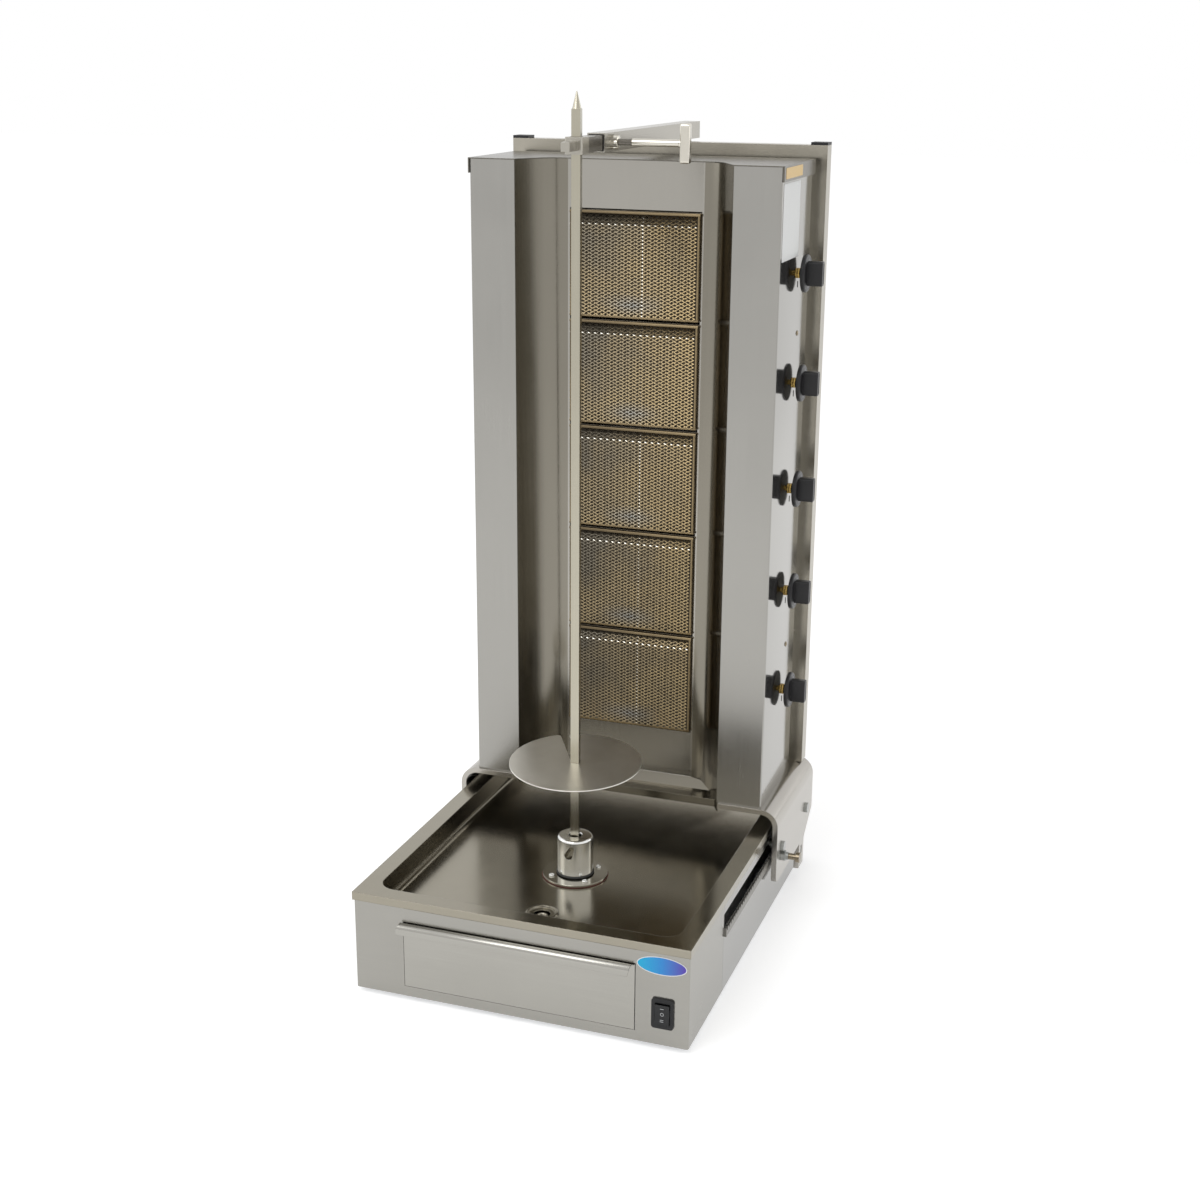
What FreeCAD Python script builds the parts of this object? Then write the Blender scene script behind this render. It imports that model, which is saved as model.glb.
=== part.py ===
import FreeCAD, Part
import math
import os

import Sketcher
from FreeCAD import Placement, Rotation, Vector

# Driving sizes in millimetres; the origin is the middle of the base box's underside
SIZES = [
    # Sheet metal and the table feet
    ("sheet_gauge", 1.5),
    ("foot_height", 8.0),
    ("foot_radius", 15.0),
    ("foot_inset", 45.0),
    # Base box
    ("base_margin", 14.0),
    ("base_depth", 650.0),
    ("base_height", 148.0),
    ("front_wrap", 164.0),
    ("seam_gap", 0.4),
    ("corner_bend", 3.0),
    # Long side slots for the carriage and the toothed strips below them
    ("slot_front", 165.0),
    ("slot_inset", 15.0),
    ("slot_bottom", 97.0),
    ("slot_height", 23.0),
    ("rack_height", 13.0),
    ("rack_gauge", 3.0),
    ("rack_pitch", 10.0),
    ("rack_notch", 4.5),
    # Drip tray pressed into the top of the base
    ("rim_width", 24.0),
    ("rim_skirt", 12.0),
    ("skirt_gap", 0.2),
    ("pan_depth", 36.0),
    ("pan_corner", 25.0),
    ("pan_bend", 9.0),
    ("drain_setback", 94.0),
    ("drain_radius", 12.0),
    ("drain_ring_radius", 24.0),
    ("drain_ring_height", 3.0),
    # Grease drawer
    ("drawer_margin", 76.0),
    ("drawer_bottom", 16.0),
    ("drawer_height", 98.0),
    ("drawer_length", 168.0),
    ("drawer_gap", 1.0),
    ("lip_reach", 12.0),
    ("lip_drop", 15.0),
    ("lip_bend", 5.0),
    ("runner_height", 12.0),
    # Rocker switch
    ("switch_inset", 36.0),
    ("switch_level", 48.0),
    ("switch_width", 31.0),
    ("switch_height", 44.0),
    ("switch_bezel", 3.0),
    ("rocker_width", 20.0),
    ("pivot_radius", 2.0),
    ("rocker_height", 29.0),
    # Spit drive
    ("spit_setback", 228.0),
    ("flange_radius", 51.0),
    ("flange_gauge", 3.0),
    ("gasket_gauge", 1.0),
    ("seal_height", 3.0),
    ("shaft_radius", 10.0),
    ("shaft_clearance", 0.05),
    ("coupling_radius", 25.5),
    ("coupling_height", 56.0),
    ("coupling_shoulder", 5.0),
    ("spit_bore", 9.0),
    ("pin_radius", 3.0),
    ("gearbox_width", 92.0),
    ("gearbox_length", 104.0),
    ("gearbox_height", 46.0),
    # Spit and meat disc
    ("spit_size", 12.0),
    ("spit_rise", 68.0),
    ("cone_length", 22.0),
    ("spit_turn", 8.0),
    ("disc_radius", 95.5),
    ("disc_gauge", 1.5),
    ("disc_rise", 142.0),
    ("disc_clearance", 0.4),
    ("disc_slot_turn", 120.0),
    ("disc_slot_corner", 5.0),
    ("disc_tilt", 3.0),
    ("disc_pin_radius", 2.2),
    ("disc_pin_length", 32.0),
    # Carriage that carries the burner tower along the base
    ("carriage_inset", 13.0),
    ("carriage_length", 232.0),
    ("carriage_gauge", 8.0),
    ("carriage_lift", 20.0),
    ("carriage_bend", 27.0),
    ("carriage_gap", 5.0),
    ("leg_bottom", 57.0),
    ("leg_corner", 12.0),
    ("tongue_length", 30.0),
    ("tongue_bottom", 14.0),
    ("tongue_inset", 183.0),
    ("roller_radius", 9.0),
    ("roller_clearance", 0.3),
    # Burner tower
    ("tower_inset", 4.0),
    ("tower_depth", 173.0),
    ("wing_width", 69.0),
    ("flare_width", 25.0),
    ("flare_depth", 46.0),
    ("throat_width", 18.0),
    ("throat_depth", 13.0),
    ("frame_width", 19.0),
    ("frame_depth", 3.0),
    ("sill_rise", 9.0),
    ("sill_drop", 3.0),
    ("sill_inset", 16.0),
    ("sill_lip", 12.0),
    ("notch_clearance", 0.6),
    ("cover_flange", 20.0),
    ("cover_overhang", 1.0),
    # Burners
    ("burner_width", 200.0),
    ("burner_bottom", 82.0),
    ("burner_pitch", 158.4),
    ("burner_top", 69.0),
    ("burner_gap", 4.0),
    ("burner_lap", 4.0),
    ("burner_depth", 60.0),
    ("burner_gauge", 2.0),
    ("ceramic_gauge", 13.0),
    ("screen_bulge", 6.0),
    ("screen_gauge", 1.0),
    ("mixer_radius", 13.0),
    ("mixer_length", 34.0),
    # Gas valves and knobs
    ("knob_offset", 5.4),
    ("knob_inset", 109.0),
    ("manifold_radius", 11.0),
    ("inlet_rise", 33.0),
    ("inlet_radius", 10.5),
    ("inlet_length", 20.0),
    ("valve_width", 26.0),
    ("spindle_radius", 4.0),
    ("knob_radius", 27.0),
    ("knob_gap", 9.0),
    ("knob_skirt", 6.0),
    ("grip_length", 33.0),
    ("grip_width", 14.0),
    ("grip_depth", 22.0),
    ("knob_travel", 3.0),
    # Rear frame and telescopic arm
    ("frame_tube", 25.0),
    ("frame_wall", 2.0),
    ("frame_inset", 26.0),
    ("frame_rise", 19.5),
    ("cross_height", 30.0),
    ("cap_height", 4.0),
    ("arm_setback", 74.0),
    ("arm_tail", 109.0),
    ("arm_wall", 2.2),
    ("slide_clearance", 0.3),
    ("inner_arm_overlap", 255.0),
    ("bearing_width", 24.0),
    ("bearing_length", 26.0),
    ("bearing_height", 22.0),
    ("bearing_bore", 9.0),
    ("nose_length", 30.0),
    ("nose_width", 12.0),
    # Clamp screw with its bar handle
    ("clamp_inset", 33.0),
    ("clamp_radius", 5.0),
    ("clamp_nut_width", 17.0),
    ("clamp_nut_length", 8.0),
    ("clamp_length", 95.0),
    ("handle_length", 52.0),
    ("handle_width", 16.0),
    ("handle_thickness", 13.0),
    # Index plunger in the right carriage leg
    ("plunger_inset", 36.0),
    ("plunger_level", 90.0),
    ("plunger_radius", 3.0),
    ("plunger_barrel", 6.0),
    ("plunger_barrel_length", 10.0),
    ("plunger_reach", 12.0),
    ("plunger_knob_radius", 8.0),
    ("plunger_knob_length", 6.0),
    # Mains gland in the rear panel
    ("gland_radius", 9.0),
    ("gland_bore", 4.0),
    ("gland_offset", 150.0),
    ("gland_level", 50.0),
]

doc = FreeCAD.newDocument("doner_grill")
sheet = doc.addObject("Spreadsheet::Sheet", "Sizes")


class Size:
    """A length: its value now, and the same sum in words of the sheet."""

    def __init__(self, value, words):
        self.value = float(value)
        self.words = words

    def __float__(self):
        return self.value

    def __add__(self, other):
        return joined(self, "+", other)

    def __radd__(self, other):
        return joined(other, "+", self)

    def __sub__(self, other):
        return joined(self, "-", other)

    def __rsub__(self, other):
        return joined(other, "-", self)

    def __mul__(self, other):
        return joined(self, "*", other)

    def __rmul__(self, other):
        return joined(other, "*", self)

    def __truediv__(self, other):
        return joined(self, "/", other)

    def __neg__(self):
        return joined(0.0, "-", self)


def sized(thing):
    if isinstance(thing, Size):
        return thing
    return Size(thing, f"({float(thing)!r})")


def joined(first, sign, second):
    first = sized(first)
    second = sized(second)
    results = {
        "+": first.value + second.value,
        "-": first.value - second.value,
        "*": first.value * second.value,
        "/": first.value / second.value if second.value else 0.0,
    }
    return Size(results[sign], f"({first.words} {sign} {second.words})")


class Sheet:
    """The sheet's driving sizes, each under its own name."""


s = Sheet()
for row, (alias, value) in enumerate(SIZES, start=1):
    sheet.set(f"A{row}", alias)
    sheet.set(f"B{row}", str(value))
    sheet.setAlias(f"B{row}", alias)
    setattr(s, alias, Size(value, f"Sizes.{alias}"))
doc.recompute()

NODES = {}


# Small helpers: bound properties, solids, outlines and rounded edges
def bind(item, path, size):
    item.setExpression(path, sized(size).words)


def keep(item, node):
    item.Label = node
    NODES[node] = item
    return item


def put(item, x, y, z, turn=None):
    if turn is not None:
        item.Placement = Placement(Vector(0, 0, 0), turn)
    bind(item, "Placement.Base.x", x)
    bind(item, "Placement.Base.y", y)
    bind(item, "Placement.Base.z", z)
    return item


def block(name, x, y, z):
    item = doc.addObject("Part::Box", name)
    bind(item, "Length", x[1] - x[0])
    bind(item, "Width", y[1] - y[0])
    bind(item, "Height", z[1] - z[0])
    return put(item, x[0], y[0], z[0])


ALONG = {
    "X": Rotation(Vector(0, 1, 0), 90),
    "Y": Rotation(Vector(1, 0, 0), -90),
    "Z": Rotation(),
}


def rod(name, radius, axis, start, length):
    """A round bar from start, a point, along an axis."""
    item = doc.addObject("Part::Cylinder", name)
    bind(item, "Radius", radius)
    bind(item, "Height", length)
    return put(item, *start, turn=ALONG[axis])


def cut(name, base, *tools):
    item = base
    for count, tool in enumerate(tools):
        last = count == len(tools) - 1
        step = doc.addObject("Part::Cut", name if last else f"{name}_step{count}")
        step.Base = item
        step.Tool = tool
        item = step
    return item


def fuse(name, *pieces):
    item = doc.addObject("Part::MultiFuse", name)
    item.Shapes = list(pieces)
    item.Refine = True
    return item


def group(name, pieces):
    item = doc.addObject("Part::Compound", name)
    item.Links = list(pieces)
    return item


PLANES = {"X": "YZ_Plane", "Y": "XZ_Plane", "Z": "XY_Plane"}


def new_body(name):
    return doc.addObject("PartDesign::Body", name)


def flat_sketch(body, axis, level):
    """A sketch square to an axis, at a level along it."""
    flat = body.newObject("Sketcher::SketchObject", f"{body.Name}_outline")
    plane = next(item for item in body.Origin.OriginFeatures if item.Role == PLANES[axis])
    flat.AttachmentSupport = [(plane, "")]
    flat.MapMode = "FlatFace"
    bind(flat, "AttachmentOffset.Base.z", -level if axis == "Y" else level)
    return flat


def tie(flat, rules, sizes):
    """Add rules to a sketch in one go and bind each measured one to its size."""
    first = flat.ConstraintCount
    flat.addConstraint(rules)
    for index, size in enumerate(sizes):
        if size is not None:
            flat.setExpression(f"Constraints[{first + index}]", size.words)


def point_rules(shape, end, point):
    x, y = sized(point[0]), sized(point[1])
    across = Sketcher.Constraint("DistanceX", -1, 1, shape, end, x.value)
    up = Sketcher.Constraint("DistanceY", -1, 1, shape, end, y.value)
    return [across, up], [x, y]


def polygon(flat, points):
    """A closed outline of straight runs, each corner tied to its own sizes."""
    spots = [Vector(float(x), float(y), 0) for x, y in points]
    first = flat.GeometryCount
    count = len(spots)
    runs = [Part.LineSegment(spots[i], spots[(i + 1) % count]) for i in range(count)]
    flat.addGeometry(runs, False)
    rules = []
    for i in range(count):
        rules.append(Sketcher.Constraint("Coincident", first + i, 2, first + (i + 1) % count, 1))
    sizes = [None] * count
    for i, point in enumerate(points):
        more, its_sizes = point_rules(first + i, 1, point)
        rules += more
        sizes += its_sizes
    tie(flat, rules, sizes)


def circle(flat, point, radius):
    spot = Vector(float(point[0]), float(point[1]), 0)
    index = flat.addGeometry(Part.Circle(spot, Vector(0, 0, 1), float(radius)), False)
    rules, sizes = point_rules(index, 3, point)
    rules.append(Sketcher.Constraint("Radius", index, float(radius)))
    sizes.append(sized(radius))
    tie(flat, rules, sizes)


def rectangle(x, y):
    return [(x[0], y[0]), (x[1], y[0]), (x[1], y[1]), (x[0], y[1])]


def mirrored(points):
    """The points, and then the same points on the other side of the middle."""
    return list(points) + [(-x, y) for x, y in reversed(points)]


def add_slab(body, axis, start, end, *outlines, rounds=()):
    flat = flat_sketch(body, axis, start)
    for outline in outlines:
        polygon(flat, outline)
    for spot, radius in rounds:
        circle(flat, spot, radius)
    slab = body.newObject("PartDesign::Pad", f"{body.Name}_slab")
    slab.Profile = flat
    bind(slab, "Length", end - start)
    slab.Reversed = axis == "Y"
    body.Tip = slab
    doc.recompute()
    return slab


def cut_slab(body, axis, start, end, *outlines, rounds=()):
    """Cut outlines and round holes out of a body, from start to end along an axis."""
    before = body.Shape.Volume
    flat = flat_sketch(body, axis, start)
    for outline in outlines:
        polygon(flat, outline)
    for spot, radius in rounds:
        circle(flat, spot, radius)
    hole = body.newObject("PartDesign::Pocket", f"{body.Name}_cut")
    hole.Profile = flat
    bind(hole, "Length", end - start)
    hole.Reversed = axis != "Y"
    body.Tip = hole
    doc.recompute()
    if not body.Shape.Volume < before - 0.01:
        raise RuntimeError(f"{body.Name}: a cut along {axis} removed nothing")
    return hole


def turn_profile(body, points):
    """Turn a profile, given as (radius, height), about the upright axis."""
    flat = flat_sketch(body, "Y", sized(0.0))
    polygon(flat, points)
    turned = body.newObject("PartDesign::Revolution", f"{body.Name}_turned")
    turned.Profile = flat
    turned.ReferenceAxis = (flat, ["V_Axis"])
    turned.Angle = 360.0
    body.Tip = turned
    doc.recompute()
    return turned


def edges_along(body, axis, spots, tolerance=0.01):
    """Names of the straight edges along an axis that pass through the given spots."""
    index = "XYZ".index(axis)
    others = [i for i in range(3) if i != index]
    names = []
    for number, edge in enumerate(body.Tip.Shape.Edges, start=1):
        if edge.Curve.TypeId != "Part::GeomLine":
            continue
        if abs(abs(edge.Curve.Direction[index]) - 1.0) > 1e-6:
            continue
        point = edge.Vertexes[0].Point
        for spot in spots:
            misses = [abs(point[others[k]] - float(spot[k])) for k in range(2)]
            if max(misses) < tolerance:
                names.append(f"Edge{number}")
    return names


def edges_at(body, axis, level, tolerance=0.01):
    """Names of the edges that lie flat at a level along an axis."""
    low, high = {"X": ("XMin", "XMax"), "Y": ("YMin", "YMax"), "Z": ("ZMin", "ZMax")}[axis]
    names = []
    for number, edge in enumerate(body.Tip.Shape.Edges, start=1):
        box = edge.BoundBox
        misses = [abs(getattr(box, end) - float(level)) for end in (low, high)]
        if max(misses) < tolerance:
            names.append(f"Edge{number}")
    return names


def round_edges(body, names, radius, kind="PartDesign::Fillet", size_name="Radius"):
    if not names:
        raise RuntimeError(f"{body.Name}: no edge was found to round")
    base = body.Tip
    item = body.newObject(kind, f"{body.Name}_round")
    item.Base = (base, names)
    bind(item, size_name, radius)
    body.Tip = item
    doc.recompute()
    return item


# Places that many pieces share, first across the grill, then along it, then up it
gauge = s.sheet_gauge
window_x = s.burner_width / 2
frame_x = window_x + s.frame_width
throat_x = frame_x + s.throat_width
wing_x = throat_x + s.flare_width
tower_x = wing_x + s.wing_width
side_x = tower_x + s.base_margin
leg_inner_x = side_x + s.skirt_gap + gauge + s.carriage_gap
leg_outer_x = leg_inner_x + s.carriage_gauge
upright_x = side_x + 1.0
drawer_x = side_x - s.drawer_margin
switch_x = side_x - s.switch_inset

front_y = -s.base_depth / 2
rear_y = s.base_depth / 2
spit_y = front_y + s.spit_setback
slot_front_y = front_y + s.slot_front
slot_rear_y = rear_y - s.slot_inset
carriage_rear_y = rear_y - s.carriage_inset
carriage_front_y = carriage_rear_y - s.carriage_length
tower_y = carriage_front_y + s.tower_inset
tower_rear_y = tower_y + s.tower_depth
throat_y = tower_y + s.flare_depth
frame_y = throat_y + s.throat_depth + s.frame_depth
knob_y = tower_y + s.knob_inset
upright_y = carriage_rear_y - s.frame_inset
arm_front_y = spit_y + s.arm_setback
arm_rear_y = upright_y + s.frame_tube + s.arm_tail

box_z = sized(0.0)
rim_z = box_z + s.base_height
wall_top_z = rim_z - gauge
pan_floor_z = rim_z - s.pan_depth
slot_z = box_z + s.slot_bottom
slot_top_z = slot_z + s.slot_height
flange_z = pan_floor_z + s.gasket_gauge
seal_z = flange_z + s.flange_gauge
coupling_z = seal_z + s.seal_height + 0.3
coupling_top_z = coupling_z + s.coupling_height
disc_z = rim_z + s.disc_rise
disc_pin_z = disc_z - s.disc_gauge - s.disc_pin_radius - 0.3
carriage_z = rim_z + s.carriage_lift
deck_z = carriage_z + s.carriage_gauge
burner_z = deck_z + s.burner_bottom
burners_top_z = burner_z + s.burner_pitch * 5
tower_top_z = burners_top_z + s.burner_top
frame_top_z = tower_top_z + s.frame_rise
arm_z = frame_top_z + s.frame_tube / 2


# Base box
def make_front_cover():
    body = keep(new_body("front_cover"), "front_cover")
    inner_x = side_x - gauge
    wrap_y = front_y + s.front_wrap
    profile = mirrored([(-side_x, wrap_y), (-side_x, front_y)])
    inside = mirrored([(-inner_x, wrap_y), (-inner_x, front_y + gauge)])
    add_slab(body, "Z", box_z, wall_top_z, profile[:4] + list(reversed(inside)))
    low = drawer_front_z[0] - s.drawer_gap
    high = drawer_front_z[1] + s.drawer_gap
    half = drawer_x + s.drawer_gap
    opening = rectangle((-half, half), (low, high))
    hole_x = rocker_hole(switch_x, s.switch_width)
    hole_z = rocker_hole(box_z + s.switch_level, s.switch_height)
    cut_slab(body, "Y", front_y, front_y + gauge, opening, rectangle(hole_x, hole_z))
    round_edges(body, edges_along(body, "Z", [(side_x, front_y), (-side_x, front_y)]), s.corner_bend)


def rocker_hole(middle, width):
    half = width / 2 - s.switch_bezel
    return (middle - half, middle + half)


def make_side_panels():
    for side, name in ((-1.0, "side_panel_left"), (1.0, "side_panel_right")):
        outer = side * side_x
        inner = side * (side_x - gauge)
        span = (outer, inner) if side < 0 else (inner, outer)
        front = front_y + s.front_wrap + s.seam_gap
        panel = block(f"{name}_sheet", span, (front, rear_y - gauge), (box_z, wall_top_z))
        reach = (span[0] - 1.0, span[1] + 1.0)
        slot = block(f"{name}_slot", reach, (slot_front_y, slot_rear_y), (slot_z, slot_top_z))
        keep(cut(name, panel, slot), name)


def make_index_racks():
    """Toothed strips under the side slots; the plunger drops into their notches."""
    top = slot_z
    low = top - s.rack_height
    start = slot_front_y + 3.0
    count = int((float(slot_rear_y) - float(slot_front_y)) / float(s.rack_pitch)) - 1
    length = s.rack_pitch * count
    strips = []
    for side, name in ((-1.0, "rack_left"), (1.0, "rack_right")):
        body = new_body(name)
        outer = side_x + s.rack_gauge
        span = (side_x, outer) if side > 0 else (-outer, -side_x)
        add_slab(body, "X", span[0], span[1], rectangle((start, start + length), (low, top)))
        middle = start + s.rack_pitch / 2
        notch = [
            (middle - s.rack_pitch * 0.1, top - s.rack_notch),
            (middle + s.rack_pitch * 0.1, top - s.rack_notch),
            (middle + s.rack_pitch * 0.3, top),
            (middle - s.rack_pitch * 0.3, top),
        ]
        first = cut_slab(body, "X", span[0], span[1], notch)
        row = body.newObject("PartDesign::LinearPattern", f"{name}_row")
        row.Originals = [first]
        row.Direction = (first.Profile[0], ["H_Axis"])
        bind(row, "Length", length - s.rack_pitch)
        row.Occurrences = count
        body.Tip = row
        doc.recompute()
        strips.append(body)
    keep(group("index_racks", strips), "index_racks")


def make_rear_panel():
    body = keep(new_body("rear_panel"), "rear_panel")
    add_slab(body, "Y", rear_y - gauge, rear_y, rectangle((-side_x, side_x), (box_z, wall_top_z)))
    vents = []
    for column in (-1.0, 1.0):
        for row in range(4):
            middle = column * 70.0
            low = box_z + 60.0 + row * 14.0
            vents.append(rectangle((sized(middle - 45.0), sized(middle + 45.0)), (low, low + 5.0)))
    gland = ((s.gland_offset, box_z + s.gland_level), s.gland_radius)
    cut_slab(body, "Y", rear_y - gauge, rear_y, *vents, rounds=[gland])


def make_base_floor():
    inner_x = side_x - gauge
    span = (front_y + gauge, rear_y - gauge)
    keep(block("base_floor", (-inner_x, inner_x), span, (box_z, box_z + gauge)), "base_floor")


def make_feet():
    feet = []
    for x in (-1.0, 1.0):
        for y in (-1.0, 1.0):
            foot = new_body("foot")
            spot = (x * (side_x - s.foot_inset), y * (rear_y - s.foot_inset))
            add_slab(foot, "Z", box_z - s.foot_height, box_z, rounds=[(spot, s.foot_radius)])
            lower = edges_at(foot, "Z", box_z - s.foot_height)
            round_edges(foot, lower, sized(1.5), "PartDesign::Chamfer", "Size")
            feet.append(foot)
    keep(group("rubber_feet", feet), "rubber_feet")


def make_cable_gland():
    spot = (s.gland_offset, rear_y - 6.0, box_z + s.gland_level)
    neck = rod("gland_neck", s.gland_radius, "Y", spot, sized(14.0))
    nut = rod("gland_nut", s.gland_radius + 3.0, "Y", (spot[0], rear_y, spot[2]), sized(5.0))
    bore = rod("gland_bore", s.gland_bore, "Y", (spot[0], rear_y - 7.0, spot[2]), sized(16.0))
    keep(cut("cable_gland", fuse("gland_outside", neck, nut), bore), "cable_gland")


# Drip tray with its pressed pan
def pressed_block(name, half_x, half_y, low, high, corner, bend):
    """A block with rounded upright corners and a rounded lower edge."""
    body = new_body(name)
    add_slab(body, "Z", low, high, rectangle((-half_x, half_x), (-half_y, half_y)))
    corners = [(x * float(half_x), y * float(half_y)) for x in (-1, 1) for y in (-1, 1)]
    round_edges(body, edges_along(body, "Z", corners), corner)
    round_edges(body, edges_at(body, "Z", low), bend)
    return body


def make_drip_tray():
    outer_x = side_x + s.skirt_gap + gauge
    outer_y = rear_y + s.skirt_gap + gauge
    skirt_z = rim_z - s.rim_skirt
    plate = new_body("tray_plate")
    add_slab(plate, "Z", skirt_z, rim_z, rectangle((-outer_x, outer_x), (-outer_y, outer_y)))
    inner_x = outer_x - gauge
    inner_y = outer_y - gauge
    cut_slab(plate, "Z", skirt_z, rim_z - gauge, rectangle((-inner_x, inner_x), (-inner_y, inner_y)))
    pan_x = side_x - s.rim_width
    pan_y = rear_y - s.rim_width
    low = pan_floor_z - gauge
    outside = pressed_block("pan_outside", pan_x + gauge, pan_y + gauge, low, rim_z - gauge / 2,
                            s.pan_corner + gauge, s.pan_bend + gauge)
    inside = pressed_block("pan_inside", pan_x, pan_y, pan_floor_z, rim_z + 1.0, s.pan_corner, s.pan_bend)
    pressed = cut("tray_pressed", fuse("tray_solid", plate, outside), inside)
    drain_y = front_y + s.drain_setback
    ring = new_body("drain_ring")
    radius = s.drain_ring_radius
    top = pan_floor_z + s.drain_ring_height
    turn_profile(ring, [
        (radius - 6.0, pan_floor_z - gauge / 2),
        (radius, pan_floor_z - gauge / 2),
        (radius - 1.2, top - 0.6),
        (radius - 2.2, top),
        (radius - 3.8, top),
        (radius - 4.8, top - 0.6),
    ])
    put(ring, 0.0, drain_y, 0.0)
    drain = rod("drain_hole", s.drain_radius, "Z", (0.0, drain_y, low - 1.0), sized(6.0))
    neck = rod("neck_hole", flange_neck_radius, "Z", (0.0, spit_y, low - 1.0), sized(6.0))
    keep(cut("drip_tray", fuse("tray_with_ring", pressed, ring), drain, neck), "drip_tray")


# Drive under the tray
flange_neck_radius = s.shaft_radius + 12.0
gearbox_top_z = pan_floor_z - gauge - 14.0


def make_bearing_flange():
    body = keep(new_body("bearing_flange"), "bearing_flange")
    bore = s.shaft_radius + s.shaft_clearance
    neck = flange_neck_radius - 0.5
    seal = s.coupling_radius - 2.5
    turn_profile(body, [
        (bore, gearbox_top_z),
        (neck, gearbox_top_z),
        (neck, flange_z),
        (s.flange_radius, flange_z),
        (s.flange_radius, seal_z),
        (seal, seal_z),
        (seal, seal_z + s.seal_height),
        (bore, seal_z + s.seal_height),
    ])
    holes = []
    for number in range(4):
        angle = math.radians(25.0 + 90.0 * number)
        reach = (s.flange_radius + s.coupling_radius) / 2
        holes.append(((reach * math.cos(angle), reach * math.sin(angle)), sized(2.5)))
    cut_slab(body, "Z", flange_z, seal_z, rounds=holes)
    put(body, 0.0, spit_y, 0.0)
    gasket = keep(new_body("flange_gasket"), "flange_gasket")
    edge = s.flange_radius + 1.0
    turn_profile(gasket, [(flange_neck_radius, pan_floor_z), (edge, pan_floor_z), (edge, flange_z),
                          (flange_neck_radius, flange_z)])
    put(gasket, 0.0, spit_y, 0.0)


def make_gearmotor():
    half = s.gearbox_width / 2
    front = spit_y - 34.0
    low = gearbox_top_z - s.gearbox_height
    body = new_body("gearbox")
    add_slab(body, "Z", low, gearbox_top_z, rectangle((-half, half), (front, front + s.gearbox_length)))
    corners = [(x * float(half), float(front) + y) for x in (-1, 1) for y in (0.0, float(s.gearbox_length))]
    round_edges(body, edges_along(body, "Z", corners), sized(12.0))
    motor = (sized(0.0), front + s.gearbox_length - 34.0)
    add_slab(body, "Z", box_z + 14.0, low, rounds=[(motor, sized(31.0))])
    bore = s.shaft_radius + s.shaft_clearance
    cut_slab(body, "Z", low + 6.0, gearbox_top_z, rounds=[((sized(0.0), spit_y), bore)])
    floor = box_z + gauge
    span = (front + 12.0, front + s.gearbox_length - 12.0)
    wide = (span[0] - 1.0, span[1] + 1.0)
    left = block("bracket_left", (-half - 14.0, -half + 1.0), span, (floor, low))
    right = block("bracket_right", (half - 1.0, half + 14.0), span, (floor, low))
    inner_z = (floor + 2.0, low - 2.0)
    hollow_left = block("bracket_left_hollow", (-half - 12.0, -half + 1.0), wide, inner_z)
    hollow_right = block("bracket_right_hollow", (half - 1.0, half + 12.0), wide, inner_z)
    pair = [cut("bracket_left_bent", left, hollow_left), cut("bracket_right_bent", right, hollow_right)]
    keep(fuse("gearmotor", body, *pair), "gearmotor")


# Rotating spit drive, spit and disc
def turn_with_spit(item):
    """Turn a piece about the spit's axis by the angle the spit rests at."""
    item.Placement = Placement(item.Placement.Base, Rotation(Vector(0, 0, 1), float(s.spit_turn)))
    bind(item, "Placement.Rotation.Angle", s.spit_turn)


def make_spit_coupling():
    body = keep(new_body("spit_coupling"), "spit_coupling")
    step = coupling_z + 26.0
    turn_profile(body, [
        (s.shaft_radius, coupling_z),
        (s.coupling_radius, coupling_z),
        (s.coupling_radius, coupling_top_z),
        (s.spit_bore, coupling_top_z),
        (s.spit_bore, step),
        (s.shaft_radius, step),
    ])
    outer = [f"Edge{number}" for number, edge in enumerate(body.Tip.Shape.Edges, start=1)
             if abs(edge.BoundBox.ZMin - float(coupling_top_z)) < 0.01
             and abs(edge.BoundBox.XLength - 2 * float(s.coupling_radius)) < 0.1]
    round_edges(body, outer, s.coupling_shoulder)
    # The bayonet slot: a small round end for the pin and a wide slanted mouth below it
    pin_z = coupling_top_z - 13.0
    start = -s.coupling_radius - 1.0
    cut_slab(body, "Y", start, sized(-3.0), rounds=[((sized(0.0), pin_z), s.pin_radius + 0.5)])
    cut_slab(body, "Y", start, sized(-3.0), rounds=[((sized(-9.0), pin_z - 20.0), s.pin_radius + 2.5)])
    run = [
        (sized(-3.4), pin_z + 0.8),
        (sized(-14.2), pin_z - 18.3),
        (sized(-4.2), pin_z - 22.7),
        (sized(3.4), pin_z - 0.9),
    ]
    cut_slab(body, "Y", start, sized(-3.0), run)
    put(body, 0.0, spit_y, 0.0)
    turn_with_spit(body)
    shaft_low = gearbox_top_z - s.gearbox_height + 8.0
    keep(rod("drive_shaft", s.shaft_radius, "Z", (0.0, spit_y, shaft_low), step - shaft_low), "drive_shaft")


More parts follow.
